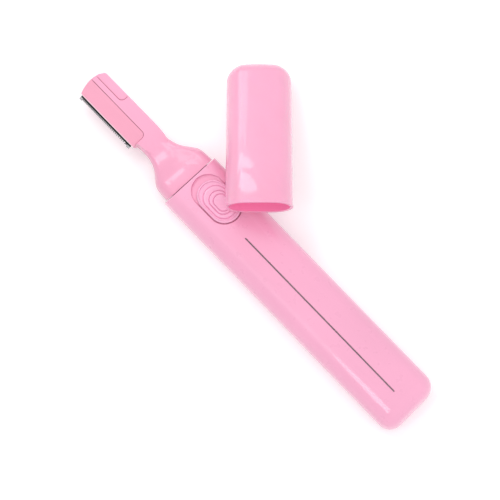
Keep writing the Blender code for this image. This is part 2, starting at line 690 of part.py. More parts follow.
def make_lever():
    """The bell crank that turns the eccentric's sideways throw into the blade's stroke."""
    top = LEVER_Z + LEVER_THICKNESS
    pivot = (PIVOT_X, 0)
    hub = rod_z(pivot, LEVER_HUB_RADIUS, LEVER_Z, top)
    lever = add("drive_lever", hub, WHITE_PLASTIC, (PIVOT_X, 0, 0))
    slot_half = CAM_PIN_RADIUS + 2 * CAM_THROW + FIT
    fork_half = slot_half + PRONG_THICKNESS
    prong_end = CAM_X - FIT
    root = PIN_X - CAM_PIN_LENGTH / 2 - FIT
    half = LEVER_ARM_WIDTH / 2
    arm = box((PIVOT_X, -half, LEVER_Z), (root, half, top))
    combine(lever, add("lever_arm", arm), "UNION")
    crank = box((PIVOT_X - half, -CRANK_ARM, LEVER_Z), (PIVOT_X + half, 0, top))
    combine(lever, add("lever_crank", crank), "UNION")
    tip = rod_z((PIVOT_X, -CRANK_ARM), half, LEVER_Z, top)
    combine(lever, add("lever_tip", tip), "UNION")
    crank_pin = rod_z((PIVOT_X, -CRANK_ARM), CRANK_PIN_RADIUS, ROD_Z - FIT, LEVER_Z + ROOT)
    combine(lever, add("crank_pin", crank_pin), "UNION")
    bottom, crest = MID_Z - PRONG_HEIGHT / 2, MID_Z + PRONG_HEIGHT / 2
    yoke = box((root - PRONG_THICKNESS, -fork_half, bottom), (prong_end, fork_half, crest))
    combine(lever, add("lever_yoke", yoke), "UNION")
    low = (root, -slot_half, bottom - OVERRUN)
    high = (prong_end + OVERRUN, slot_half, crest + OVERRUN)
    combine(lever, add("lever_gap", box(low, high)))
    bore = rod_z(pivot, PIVOT_RADIUS + PIN_FIT, LEVER_Z - OVERRUN, top + OVERRUN)
    combine(lever, add("lever_bore", bore))


def motor_outline(skin):
    """The motor's section: a round can with two flats."""
    radius = MOTOR_WIDTH / 2 - skin
    flat = MID_Z - WALL - MOTOR_FLAT_GAP - skin
    lean = math.degrees(math.asin(flat / radius))
    right = arc((0, MID_Z), radius, -lean, lean, 2 * ARC_STEPS)
    left = arc((0, MID_Z), radius, 180 - lean, 180 + lean, 2 * ARC_STEPS)
    return right + left


def make_motor():
    can = add("motor_can", prism(motor_outline(0), MOTOR_X, MOTOR_END_X, "X"), STEEL)
    inside = motor_outline(MOTOR_CAN_WALL)
    hollow = prism(inside, MOTOR_X + MOTOR_CAN_WALL, MOTOR_END_X + OVERRUN, "X")
    combine(can, add("can_hollow", hollow))
    axis = (0, MID_Z)
    hole = rod_x(axis, BUSHING_RADIUS + PIN_FIT, MOTOR_X - OVERRUN, MOTOR_X + OVERRUN)
    combine(can, add("bushing_hole", hole))
    start = MOTOR_X - BUSHING_STAND
    end = start + BUSHING_LENGTH
    bore_radius = MOTOR_SHAFT_RADIUS + PIN_FIT
    bushing = add("motor_bushing", rod_x(axis, BUSHING_RADIUS, start, end), BRASS)
    bore = rod_x(axis, bore_radius, start - OVERRUN, end + OVERRUN)
    combine(bushing, add("bushing_bore", bore))
    plug = prism(motor_outline(0), MOTOR_END_X + FIT, END_CAP_X, "X")
    end_cap = add("motor_end_cap", plug, DARK_PLASTIC)
    bore = rod_x(axis, bore_radius, MOTOR_END_X - OVERRUN, END_CAP_X + OVERRUN)
    combine(end_cap, add("end_cap_bore", bore))


def make_rotor():
    axis = (0, MID_Z)
    anchor = (MOTOR_X, 0, MID_Z)
    shaft = rod_x(axis, MOTOR_SHAFT_RADIUS, CAM_X + CAM_WEB + PIN_FIT, END_CAP_X)
    rotor = add("motor_rotor", shaft, STEEL, anchor)
    core_x = (MOTOR_X + MOTOR_END_X - ARMATURE_LENGTH) / 2
    core = rod_x(axis, ARMATURE_RADIUS, core_x, core_x + ARMATURE_LENGTH)
    combine(rotor, add("armature_core", core), "UNION")
    hub_end = CAM_X + CAM_HUB_LENGTH
    hub = rod_x(axis, CAM_HUB_RADIUS, CAM_X, hub_end)
    cam = add("eccentric_cam", hub, WHITE_PLASTIC, anchor)
    bore = rod_x(axis, MOTOR_SHAFT_RADIUS + PIN_FIT, CAM_X + CAM_WEB, hub_end + OVERRUN)
    combine(cam, add("cam_bore", bore))
    pin_axis = (0, MID_Z + CAM_THROW)
    pin = rod_x(pin_axis, CAM_PIN_RADIUS, PIN_X - CAM_PIN_LENGTH / 2, CAM_X + CAM_WEB / 2)
    combine(cam, add("cam_pin", pin), "UNION")


def make_battery():
    axis = (0, MID_Z)
    body = rod_x(axis, CELL_DIAMETER / 2, CELL_X + CELL_NUB_LENGTH, CELL_END_X)
    cell = add("battery_cell", body, CELL_JACKET)
    nub = rod_x(axis, CELL_NUB_DIAMETER / 2, CELL_X, CELL_X + CELL_NUB_LENGTH + ROOT)
    combine(cell, add("cell_nub", nub), "UNION")


def make_negative_spring():
    """One unbroken conical coil, and the least gap between its turns."""
    count = round(SPRING_TURNS * SPRING_POINTS_PER_TURN)
    length = SPRING_LENGTH - SPRING_WIRE
    points = []
    for i in range(count + 1):
        share = i / count
        angle = math.tau * i / SPRING_POINTS_PER_TURN
        radius = SPRING_TIP_RADIUS + (SPRING_RADIUS - SPRING_TIP_RADIUS) * share
        x = CELL_END_X + FIT + SPRING_WIRE / 2 + length * share
        points.append(Vector((x, radius * math.cos(angle), MID_Z + radius * math.sin(angle))))
    near = SPRING_POINTS_PER_TURN // 2
    pairs = [(a, b) for a in range(len(points)) for b in range(a + near, len(points))]
    gap = min((points[a] - points[b]).length for a, b in pairs) - SPRING_WIRE
    print(f"negative_spring: least gap to itself {gap * 1000:.2f} mm")
    curve = bpy.data.curves.new("negative_spring", "CURVE")
    curve.dimensions = "3D"
    curve.bevel_depth = SPRING_WIRE / 2
    curve.bevel_resolution = 1
    curve.use_fill_caps = True
    spline = curve.splines.new("POLY")
    spline.points.add(count)
    for target, point in zip(spline.points, points):
        target.co = (*point, 1)
    spring = bpy.data.objects.new("negative_spring", curve)
    bpy.context.scene.collection.objects.link(spring)
    curve.materials.append(material("negative_spring", *SILVER))


def strip_wall_y(side):
    return side * (INNER_SIDE_Y - STRIP_WALL_GAP)


def add_strip(name, path, finish):
    return add(name, prism(ribbon(path, STRIP_THICKNESS), STRIP_BOTTOM_Z, STRIP_TOP_Z), finish)


def switch_terminal_x():
    """Places of the front and the rear terminal. The switch contact reaches the front one only when on."""
    contact_rear = KNOB_X + SWITCH_CONTACT_LENGTH / 2
    contact_front = KNOB_X - SWITCH_CONTACT_LENGTH / 2 - SWITCH_TRAVEL
    return contact_front + TERMINAL_OVERLAP, contact_rear - SWITCH_TRAVEL - TERMINAL_OVERLAP


def make_strips():
    front_x, rear_x = switch_terminal_x()
    inner_y = SWITCH_CONTACT_OFFSET - SWITCH_CONTACT_WIDTH / 2
    wall_y = strip_wall_y(1)
    contact_x = CONTACT_X + STRIP_THICKNESS / 2
    path = [(contact_x, -CONTACT_BUMP_RADIUS - ROOT), (contact_x, wall_y)]
    path += [(front_x, wall_y), (front_x, inner_y)]
    positive = add_strip("positive_strip", path, BRASS)
    pad_half = CONTACT_BUMP_RADIUS + STRIP_THICKNESS
    low = (CONTACT_X, -pad_half, MID_Z - pad_half)
    high = (CONTACT_X + STRIP_THICKNESS, pad_half, STRIP_TOP_Z - ROOT)
    combine(positive, add("contact_pad", box(low, high)), "UNION")
    tip = CONTACT_X + STRIP_THICKNESS + CONTACT_BUMP_HEIGHT
    bump = rod_x((0, MID_Z), CONTACT_BUMP_RADIUS, contact_x, tip)
    combine(positive, add("contact_bump", bump), "UNION")
    lead_y = wall_y - STRIP_THICKNESS - 2 * FIT
    end_x = END_CAP_X + FIT + STRIP_THICKNESS / 2
    lead = [(rear_x, inner_y), (rear_x, lead_y), (end_x, lead_y), (end_x, MOTOR_WIDTH / 5)]
    add_strip("switch_strip", lead, BRASS)
    turn_x = (SCREW_X + SCREW_SHANK_RADIUS + PIN_FIT + BOSS_WALL + BULKHEAD_X) / 2
    side = strip_wall_y(-1)
    bend = BUTT_CORNER / 3
    start_x = END_PLATE_X - FIT / 2 - STRIP_THICKNESS
    terminal_y = -MOTOR_WIDTH / 5
    back = [(start_x, -END_PLATE_WIDTH / 2 - FIT), (start_x, side + bend), (start_x - bend, side)]
    back += [(turn_x, side), (turn_x, terminal_y), (END_CAP_X + FIT, terminal_y)]
    add_strip("negative_strip", back, BRASS)


def make_negative_contact():
    half = END_PLATE_WIDTH / 2
    low = (END_PLATE_X, -half, PARTING_HEIGHT + FIT)
    high = (END_PLATE_X + END_PLATE_THICKNESS, half, HANDLE_THICKNESS - PARTING_HEIGHT - FIT)
    add("negative_contact", box(low, high), SILVER)


def knob_rings():
    """Sizes (height, length, width) up the knob: its side, its flat rim, then steps toward the middle."""
    level = HANDLE_THICKNESS + KNOB_RISE
    rings = [(RECESS_FLOOR_Z + FIT, KNOB_LENGTH, KNOB_WIDTH)]
    rings.append((level - KNOB_EDGE, KNOB_LENGTH, KNOB_WIDTH))
    rings.append((level, KNOB_LENGTH - 2 * KNOB_EDGE, KNOB_WIDTH - 2 * KNOB_EDGE))
    for rise, (length_share, width_share) in zip(KNOB_STEP_RISES, KNOB_STEP_SHARES):
        length, width = KNOB_LENGTH * length_share, KNOB_WIDTH * width_share
        rings.append((level, length + 2 * rise, width + 2 * rise))
        level += rise
        rings.append((level, length, width))
    return rings


def make_switch():
    """The sliding knob, which rests at the butt end of its recess, and what it carries inside."""
    outlines = []
    for level, length, width in knob_rings():
        plan = stadium(KNOB_AT, length, width)
        outlines.append([(x, y, level) for x, y in plan])
    knob = add("switch_knob", loft(outlines), LIGHT_PINK, (*KNOB_AT, HANDLE_THICKNESS))
    stem = stadium(KNOB_AT, STEM_LENGTH, STEM_WIDTH, STEM_ROUND_SHARE)
    stem_top = RECESS_FLOOR_Z + 2 * FIT
    combine(knob, add("knob_stem", prism(stem, CARRIAGE_Z + PIN_FIT, stem_top)), "UNION")
    half_length, half_width = CARRIAGE_LENGTH / 2, CARRIAGE_WIDTH / 2
    low = (KNOB_X - half_length, -half_width, CARRIAGE_Z)
    high = (KNOB_X + half_length, half_width, CARRIAGE_Z + CARRIAGE_THICKNESS)
    carriage = add("switch_carriage", box(low, high), DARK_PLASTIC, (KNOB_X, 0, CARRIAGE_Z))
    length, width = STEM_LENGTH + 2 * PIN_FIT, STEM_WIDTH + 2 * PIN_FIT
    socket = stadium(KNOB_AT, length, width, STEM_ROUND_SHARE)
    combine(carriage, add("stem_socket", prism(socket, CARRIAGE_Z - OVERRUN, PAN_Z + OVERRUN)))
    half_length, half_width = SWITCH_CONTACT_LENGTH / 2, SWITCH_CONTACT_WIDTH / 2
    top = SWITCH_CONTACT_Z + STRIP_THICKNESS
    low = (KNOB_X - half_length, SWITCH_CONTACT_OFFSET - half_width, SWITCH_CONTACT_Z)
    high = (KNOB_X + half_length, SWITCH_CONTACT_OFFSET + half_width, top)
    add("switch_contact", box(low, high), COPPER, (KNOB_X, 0, SWITCH_CONTACT_Z))


def step_x():
    return TIP_X + STEP_LENGTH


def cut_blade_room(half, floor):
    """The room for the blades and for what drives them, open on the blade side."""
    far_y = far(y=-1)[1]
    root = -BLADE_ROOT + FIT
    low = (BLADE_ROOM_X, far_y, floor)
    high = (BLADE_ROOM_END_X, root, PLATE_Z + OVERRUN)
    combine(half, add(half.name + "_blade_slot", box(low, high)))
    low = (BLADE_ROOM_X, -CARRIER_OUTER - FIT, ROD_Z - FIT)
    high = (BLADE_ROOM_END_X, -CARRIER_INNER + FIT, MID_Z + OVERRUN)
    combine(half, add(half.name + "_carrier_room", box(low, high)))
    channel = ROD_WIDTH / 2 + FIT
    low = (BLADE_ROOM_END_X - FIT, -ROD_OFFSET - channel, ROD_Z - FIT)
    high = (FRAME_X + OVERRUN, channel - ROD_OFFSET, MID_Z + FIT)
    combine(half, add(half.name + "_rod_channel", box(low, high)))


def make_head():
    far_x, far_y, far_z = far(1, 1, 1)
    front = add("head_front_half", head_form(0), LIGHT_PINK)
    combine(front, add("head_front_hollow", head_form(HEAD_WALL)))
    below = box((-far_x, -far_y, -far_z), (far_x, far_y, MID_Z + FIT / 2))
    combine(front, add("head_front_parting", below))
    cut_blade_room(front, MID_Z - OVERRUN)
    plate_room = box((-far_x, -far_y, PLATE_Z - FIT), (FRAME_X + FIT, -PLATE_INNER + FIT, far_z))
    combine(front, add("plate_room", plate_room))
    step_y = FRAME_OPEN_SIDE - STEP_INSET
    combine(front, add("step_room", box((-far_x, step_y, -far_z), (step_x() + FIT, far_y, far_z))))
    back = add("head_back_half", head_form(0), LIGHT_PINK)
    combine(back, add("head_back_hollow", head_form(HEAD_WALL)))
    parting = MID_Z - FIT / 2
    combine(back, add("head_back_parting", box((step_x(), -far_y, parting), (far_x, far_y, far_z))))
    frame_top = box((-far_x, -far_y, parting), (step_x() + FIT, step_y + FIT, far_z))
    combine(back, add("frame_top", frame_top))
    step_top = MID_Z + FRAME_HALF_THICKNESS - STEP_DEPTH
    combine(back, add("step_top", box((-far_x, -far_y, step_top), (step_x() + FIT, far_y, far_z))))
    cut_blade_room(back, MOVING_BLADE_Z - FIT)


def blade_outline(length, start, land, inset, guard):
    """A comb: a straight root, and teeth toward the blade side with a wider tooth at each end."""
    root = -BLADE_ROOT
    tips = -(land + TOOTH_DEPTH) + inset
    end = start + length
    points = [(end, root), (start, root)]
    first = start + GUARD_TOOTH_WIDTH
    last = end - GUARD_TOOTH_WIDTH
    points += [(start, tips - guard), (first, tips - guard), (first, -land)]
    count = int((last - first) / TOOTH_PITCH)
    pitch = (last - first) / count
    gap = pitch * (1 - TOOTH_SHARE)
    for i in range(count - 1):
        left = first + i * pitch + gap
        right = first + (i + 1) * pitch
        points += [(left, -land), (left, tips), (right, tips), (right, -land)]
    points += [(last, -land), (last, tips - guard), (end, tips - guard)]
    return points


def make_blades():
    outline = blade_outline(BLADE_LENGTH, BLADE_X, BLADE_LAND, 0, GUARD_TOOTH_EXTRA)
    add("fixed_blade", prism(outline, FIXED_BLADE_Z, FIXED_BLADE_Z + BLADE_THICKNESS), STEEL)
    length = BLADE_LENGTH - 2 * MOVING_BLADE_INSET
    carrier_x = BLADE_X + MOVING_BLADE_INSET
    outline = blade_outline(length, carrier_x, BLADE_LAND, MOVING_TOOTH_INSET, 0)
    add("moving_blade", prism(outline, MOVING_BLADE_Z, MOVING_BLADE_Z + BLADE_THICKNESS), STEEL)
    low = (carrier_x, -CARRIER_OUTER, CARRIER_TOP_Z - CARRIER_THICKNESS)
    high = (carrier_x + CARRIER_LENGTH, -CARRIER_INNER, CARRIER_TOP_Z)
    carrier = add("blade_carrier", box(low, high), WHITE_PLASTIC)
    rod_end = carrier_x + CARRIER_LENGTH - ROD_BEND
    half = ROD_WIDTH / 2 + PIN_FIT
    low = (rod_end - PIN_FIT, -ROD_OFFSET - half, ROD_Z - OVERRUN)
    high = (SHOULDER_X, half - ROD_OFFSET, MID_Z + OVERRUN)
    combine(carrier, add("rod_socket", box(low, high)))
    top = ROD_Z + ROD_THICKNESS
    path = [(rod_end, -ROD_OFFSET), (PIVOT_X - 2 * ROD_BEND, -ROD_OFFSET)]
    path += [(PIVOT_X - ROD_BEND, -CRANK_ARM), (PIVOT_X, -CRANK_ARM)]
    rod = add("drive_rod", prism(ribbon(path, ROD_WIDTH), ROD_Z, top), STEEL)
    eye = rod_z((PIVOT_X, -CRANK_ARM), CRANK_PIN_RADIUS + PIN_FIT + ROD_EYE_WALL, ROD_Z, top)
    combine(rod, add("rod_eye", eye), "UNION")
    hole = rod_z((PIVOT_X, -CRANK_ARM), CRANK_PIN_RADIUS + PIN_FIT, ROD_Z - OVERRUN, top + OVERRUN)
    combine(rod, add("rod_eye_hole", hole))


def tip_x(y):
    """The head's rounded tip at a place across it."""
    middle = (FRAME_OPEN_SIDE - FRAME_BLADE_SIDE) / 2
    half = (FRAME_OPEN_SIDE + FRAME_BLADE_SIDE) / 2
    return TIP_X + TIP_SAG * ((y - middle) / half) ** 2


def make_blade_plate():
    """The plate over the blades. Its top falls from the frame's face to a thin edge over the teeth."""
    crest = MID_Z + FRAME_HALF_THICKNESS
    edge = PLATE_Z + PLATE_EDGE_THICKNESS
    end = FRAME_X - FIT
    plan = arc((end - PLATE_CORNER, -PLATE_INNER - PLATE_CORNER), PLATE_CORNER, 0, 90)
    for i in range(ARC_STEPS + 1):
        y = -PLATE_INNER - (PLATE_OUTER - PLATE_INNER) * i / ARC_STEPS
        plan.append((tip_x(y), y))
    plan.append((end, -PLATE_OUTER))
    slope = (crest - edge) / (PLATE_OUTER - PLATE_INNER)
    top = [(x, y, crest + slope * (y + PLATE_INNER)) for x, y in plan]
    add("blade_plate", loft([[(x, y, PLATE_Z) for x, y in plan], top]), PINK)


def cap_form(skin):
    """The cap along +X from its mouth at zero, cut to the shoulder's slant, its back on the floor plane."""
    near = -OVERRUN if skin else 0
    rings = [slanted([(near, y, z) for y, z in handle_section(skin)], -1)]
    for x, inset in rounded_end(CAP_LENGTH - skin, CAP_CORNER - skin, skin, 1):
        rings.append([(x, y, z) for y, z in handle_section(inset)])
    return loft(rings)


def cap_lean():
    """The slope at which the cap leans on the handle with its closed end on the floor, found by bisection."""
    along = Vector((math.cos(CAP_TURN), math.sin(CAP_TURN)))
    across = Vector((along.y, -along.x))
    flat = HANDLE_WIDTH / 2 - FRONT_CORNER
    drop = FRONT_CROWN * (2 * flat / HANDLE_WIDTH) ** 2
    edge_z = HANDLE_THICKNESS - drop - FRONT_CORNER
    low, high = 0, math.pi / 4
    for _ in range(SOLVER_STEPS):
        lean = (low + high) / 2
        rise, slope = math.cos(lean), math.sin(lean)
        mouth_z = CAP_CORNER * (1 - rise) + (CAP_LENGTH - CAP_CORNER) * slope
        axis_y = CAP_MOUTH_Y - across.y * (HANDLE_WIDTH / 2 - BACK_CORNER) + along.y * slope * BACK_CORNER
        axis_z = mouth_z + BACK_CORNER * rise
        gap = (axis_y - flat) * slope + (axis_z - edge_z) * along.y * rise
        gap /= math.hypot(slope, along.y * rise)
        if gap > BACK_CORNER + FRONT_CORNER + FIT:
            high = lean
        else:
            low = lean
    return lean, mouth_z


def make_cap():
    lean, mouth_z = cap_lean()
    print(f"cap: leans {math.degrees(lean):.1f} degrees, its mouth {mouth_z * 1000:.1f} mm up")
    cap = add("cap", cap_form(0), PINK)
    hollow = add("cap_hollow", cap_form(BULB_STEP - FIT))
    place = Matrix.Translation((CAP_MOUTH_X, CAP_MOUTH_Y, mouth_z))
    place = place @ Matrix.Rotation(CAP_TURN, 4, "Z") @ Matrix.Rotation(lean, 4, "Y")
    cap.matrix_world = place
    hollow.matrix_world = place
    combine(cap, hollow)


def main():
    for old in list(bpy.data.objects):
        bpy.data.objects.remove(old)
    make_front_shell()
    make_back_shell()
    make_battery_cover()
    make_trim_line()
    make_screws()
    make_chassis()
    make_pivot_pin()
    make_lever()
    make_motor()
    make_rotor()
    make_battery()
    make_negative_spring()
    make_negative_contact()
    make_strips()
    make_switch()
    make_head()
    make_blades()
    make_blade_plate()
    make_cap()


main()
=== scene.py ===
"""The electric eyebrow trimmer dressed for its picture: moulded pink plastic, steel comb blades, pale studio."""

import math

import bmesh
import bpy
from mathutils import Matrix, Vector


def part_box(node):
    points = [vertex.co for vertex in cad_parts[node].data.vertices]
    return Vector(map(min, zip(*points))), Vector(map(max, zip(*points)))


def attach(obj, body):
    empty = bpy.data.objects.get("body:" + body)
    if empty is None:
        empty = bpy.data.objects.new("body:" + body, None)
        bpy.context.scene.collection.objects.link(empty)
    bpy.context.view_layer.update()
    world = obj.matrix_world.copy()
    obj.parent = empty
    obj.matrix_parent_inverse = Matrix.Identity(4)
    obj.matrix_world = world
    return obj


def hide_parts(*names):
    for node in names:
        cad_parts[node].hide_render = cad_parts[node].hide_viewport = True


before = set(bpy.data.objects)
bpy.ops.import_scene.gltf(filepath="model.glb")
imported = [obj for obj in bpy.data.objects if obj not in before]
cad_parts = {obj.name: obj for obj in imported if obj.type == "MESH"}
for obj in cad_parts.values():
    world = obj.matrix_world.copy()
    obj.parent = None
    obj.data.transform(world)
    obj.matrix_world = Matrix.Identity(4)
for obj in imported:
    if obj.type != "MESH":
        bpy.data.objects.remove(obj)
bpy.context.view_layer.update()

# Sizes in metres, the same as the model's
FIT = 0.0003
SEAM = 0.00012
SHOULDER_SEAM = 0.0002
WALL = 0.00105
HANDLE_WIDTH = 0.021
HANDLE_THICKNESS = 0.013
MID_Z = HANDLE_THICKNESS / 2
FRONT_CORNER = 0.006
BACK_CORNER = 0.0052
BUTT_CORNER = 0.0046
BUTT_SLANT = 0.0009
SHOULDER_EDGE = 0.00025
SHOULDER_SLANT = 0.2
FRONT_CROWN = 0.0003
PARTING_HEIGHT = 0.0034
TIP_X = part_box("head_back_half")[0][0]
BUTT_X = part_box("front_shell")[1][0]
HEAD_LENGTH = 0.0447
SHOULDER_X = TIP_X + HEAD_LENGTH
BULB_LENGTH = 0.0152
FRAME_SETBACK = 0.0199
FRAME_X = SHOULDER_X - FRAME_SETBACK
HEAD_WALL = 0.0011

# The tools: how close counts as the same place, how far a cut runs past the piece, and steps round a curve
NEAR = 1e-6
NEAR_DIGITS = 6
FAR = 0.2
OVERRUN = 0.002
SHORT_OVERRUN = 0.001
END_REACH = 0.0018
LEAN_REACH = 0.002
CORNER_STEPS = 14
SMALL_CORNER_STEPS = 8
EDGE_STEPS = 5
FINE_STEPS = 4
RIM_STEPS = 3
HOLE_STEPS = 32
RECESS_STEPS = 96
SMOOTH = math.radians(32)
X, Y, Z = range(3)


def deselect():
    bpy.ops.object.select_all(action="DESELECT")


def take(piece):
    """Makes a piece the one that the next operator works on."""
    deselect()
    piece.select_set(True)
    bpy.context.view_layer.objects.active = piece


def settle(name):
    """Names the new primitive and puts its place into its mesh."""
    piece = bpy.context.object
    piece.name = name
    piece.data.name = name
    bpy.ops.object.transform_apply(location=True, rotation=True, scale=True)
    return piece


def block(name, low, high):
    deselect()
    middle = [(a + b) / 2 for a, b in zip(low, high)]
    bpy.ops.mesh.primitive_cube_add(size=1, location=middle)
    bpy.context.object.scale = [b - a for a, b in zip(low, high)]
    return settle(name)


def rod(name, centre, radius, low, high, along=Z, steps=HOLE_STEPS):
    """A round bar with its centre line at centre, from low to high along X or Z."""
    deselect()
    middle = (low + high) / 2
    place, turn = (*centre, middle), (0, 0, 0)
    if along == X:
        place, turn = (middle, *centre), (0, math.pi / 2, 0)
    bpy.ops.mesh.primitive_cylinder_add(
        vertices=steps, radius=radius, depth=high - low, location=place, rotation=turn
    )
    return settle(name)


def near(a, b, reach=NEAR):
    return abs(a - b) < reach


def all_at(corners, axis, place):
    """Whether all corners are at one place on an axis."""
    return all(near(corner[axis], place) for corner in corners)


def pick(piece, kind, wanted):
    """Opens a piece with those of its vertices, edges or faces selected whose corners pass the test."""
    take(piece)
    bpy.ops.object.mode_set(mode="EDIT")
    bpy.ops.mesh.select_mode(type=kind)
    bpy.ops.mesh.select_all(action="DESELECT")
    mesh = bmesh.from_edit_mesh(piece.data)
    for item in {"VERT": mesh.verts, "EDGE": mesh.edges, "FACE": mesh.faces}[kind]:
        corners = [item.co] if kind == "VERT" else [corner.co for corner in item.verts]
        if wanted(corners):
            item.select_set(True)
    mesh.select_flush_mode()
    bmesh.update_edit_mesh(piece.data)


def close():
    bpy.ops.object.mode_set(mode="OBJECT")


def bevel(radius, steps=CORNER_STEPS, affect="EDGES"):
    bpy.ops.mesh.bevel(offset=radius, segments=steps, affect=affect, clamp_overlap=False)


def round_edges(piece, wanted, radius, steps=CORNER_STEPS):
    pick(piece, "EDGE", wanted)
    bevel(radius, steps)
    close()


def one_face(piece, x):
    """Makes the end of a piece at x a single face again."""
    pick(piece, "FACE", lambda corners: all_at(corners, X, x))
    bpy.ops.mesh.dissolve_faces()
    close()


def slice_at(piece, y):
    """Cuts new edges right round a piece where it crosses y."""
    take(piece)
    bpy.ops.object.mode_set(mode="EDIT")
    bpy.ops.mesh.select_all(action="SELECT")
    bpy.ops.mesh.bisect(plane_co=(0, y, 0), plane_no=(0, 1, 0))
    close()


def slice_strips(piece, half, count):
    """Slices a flat side into strips along the piece, so that it can be crowned."""
    for i in range(1 - count, count):
        slice_at(piece, half * i / count)


def shift(piece, wanted, move):
    pick(piece, "VERT", wanted)
    bpy.ops.transform.translate(value=move)
    close()


def bend(piece, wanted, move):
    """Moves the wanted vertices, level by level along Y, each by what move gives for its level."""
    levels = {round(v.co.y, NEAR_DIGITS) for v in piece.data.vertices if wanted(v.co)}
    for level in sorted(levels):
        shift(piece, lambda c: wanted(c[0]) and near(c[0].y, level, 2 * NEAR), move(level))


def crown(piece, sides, beyond, rise, half):
    """Raises what lies beyond a height above (1) or below (-1) the middle, most at y = 0 and not at half."""
    for side in sides:
        bend(
            piece, lambda p: side * (p.z - MID_Z) > beyond,
            lambda y: (0, 0, side * rise * (1 - (y / half) ** 2)),
        )


def combine(piece, *others, how="DIFFERENCE"):
    """Cuts the others from a piece, or joins them to it. Their faces bring their own material."""
    for other in others:
        take(piece)
        bpy.ops.object.modifier_add(type="BOOLEAN")
        step = piece.modifiers[-1]
        step.operation = how
        step.object = other
        step.solver = "EXACT"
        step.material_mode = "TRANSFER"
        bpy.ops.object.modifier_apply(modifier=step.name)
        bpy.data.objects.remove(other)


def soften(piece, radius, steps=RIM_STEPS, degrees=40):
    """Rounds every edge sharper than an angle a little, as a mould leaves it."""
    take(piece)
    bpy.ops.object.modifier_add(type="BEVEL")
    step = piece.modifiers[-1]
    step.width = radius
    step.segments = steps
    step.limit_method = "ANGLE"
    step.angle_limit = math.radians(degrees)
    step.use_clamp_overlap = True
    bpy.ops.object.modifier_apply(modifier=step.name)


def smooth(piece):
    take(piece)
    bpy.ops.object.shade_smooth_by_angle(angle=SMOOTH)
    bpy.ops.object.modifier_add(type="WEIGHTED_NORMAL")
    step = piece.modifiers[-1]
    step.keep_sharp = True
    bpy.ops.object.modifier_apply(modifier=step.name)


def dress(piece, material, body, node):
    """Finishes a piece: smooth shading, its material, the body it rides on and the node it stands for."""
    smooth(piece)
    if material.name not in piece.data.materials:
        piece.data.materials.clear()
        piece.data.materials.append(material)
    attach(piece, body)
    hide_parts(node)


# Materials

# Where a noise starts and stops to count
NOISE_SPAN = (0.3, 0.7)
PLASTIC_DETAIL = 3
FLOW_SCALE = 70
FLOW_STRETCH = (0.4, 1, 1)
PATCH_SCALE = 420
PATCH_ROUGHNESS = (-0.04, 0.06)
SKIN_SCALE = 3200
SKIN_DEPTH = 0.00004
COAT_ROUGHNESS = 0.06
LINE_DETAIL = 4
LINE_SCALE = 900
LINE_SHADE = 0.12
LINE_ROUGHNESS = (0.75, 1.3)
LINE_DEPTH = 0.00003
WALL_LIGHT = 0.25
WALL_LIGHT_COLOUR = (1, 0.3, 0.45)
WALL_LIGHT_REACH = 0.004


def shader_of(material):
    return material.node_tree.nodes["Principled BSDF"]


def new_material(name):
    material = bpy.data.materials.new(name)
    material.use_nodes = True
    return material, material.node_tree, shader_of(material)


def noise(tree, scale, detail, stretch=(1, 1, 1)):
    """Noise on Object coordinates, drawn out by stretch."""
    place = tree.nodes.new("ShaderNodeTexCoord")
    mapping = tree.nodes.new("ShaderNodeMapping")
    mapping.inputs["Scale"].default_value = stretch
    texture = tree.nodes.new("ShaderNodeTexNoise")
    texture.inputs["Scale"].default_value = scale
    texture.inputs["Detail"].default_value = detail
    tree.links.new(place.outputs["Object"], mapping.inputs["Vector"])
    tree.links.new(mapping.outputs["Vector"], texture.inputs["Vector"])
    return texture.outputs["Fac"]


def spread(tree, source, low, high):
    """A value drawn from low to high by a noise."""
    node = tree.nodes.new("ShaderNodeMapRange")
    node.inputs["From Min"].default_value = NOISE_SPAN[0]
    node.inputs["From Max"].default_value = NOISE_SPAN[1]
    node.inputs["To Min"].default_value = low
    node.inputs["To Max"].default_value = high
    tree.links.new(source, node.inputs["Value"])
    return node.outputs["Result"]


def shade(colour, share):
    return tuple(min(1, channel * share) for channel in colour)


def tint(tree, shader, source, colour, variation):
    """A colour that a noise makes a little darker and lighter."""
    node = tree.nodes.new("ShaderNodeMix")
    node.data_type = "RGBA"
    node.inputs["A"].default_value = (*shade(colour, 1 - variation), 1)
    node.inputs["B"].default_value = (*shade(colour, 1 + variation), 1)
    tree.links.new(spread(tree, source, 0, 1), node.inputs["Factor"])
    tree.links.new(node.outputs["Result"], shader.inputs["Base Color"])


def relief(tree, shader, source, strength, distance):
    node = tree.nodes.new("ShaderNodeBump")
    node.inputs["Strength"].default_value = strength
    node.inputs["Distance"].default_value = distance
    tree.links.new(source, node.inputs["Height"])
    tree.links.new(node.outputs["Normal"], shader.inputs["Normal"])


def moulded(name, colour, roughness, gloss=0.25, grain=0.03, variation=0.03):
    """Injection-moulded plastic: faint flow in the colour, uneven gloss and a very fine skin."""
    material, tree, shader = new_material(name)
    tint(tree, shader, noise(tree, FLOW_SCALE, PLASTIC_DETAIL, FLOW_STRETCH), colour, variation)
    low, high = (roughness + step for step in PATCH_ROUGHNESS)
    patches = spread(tree, noise(tree, PATCH_SCALE, PLASTIC_DETAIL), low, high)
    tree.links.new(patches, shader.inputs["Roughness"])
    relief(tree, shader, noise(tree, SKIN_SCALE, PLASTIC_DETAIL), grain, SKIN_DEPTH)
    shader.inputs["Coat Weight"].default_value = gloss
    shader.inputs["Coat Roughness"].default_value = COAT_ROUGHNESS
    return material


def thin_wall(material):
    """Lets some light into the cap's wall and out again beside it, redder than it came."""
    shader = shader_of(material)
    shader.inputs["Subsurface Weight"].default_value = WALL_LIGHT
    shader.inputs["Subsurface Radius"].default_value = WALL_LIGHT_COLOUR
    shader.inputs["Subsurface Scale"].default_value = WALL_LIGHT_REACH


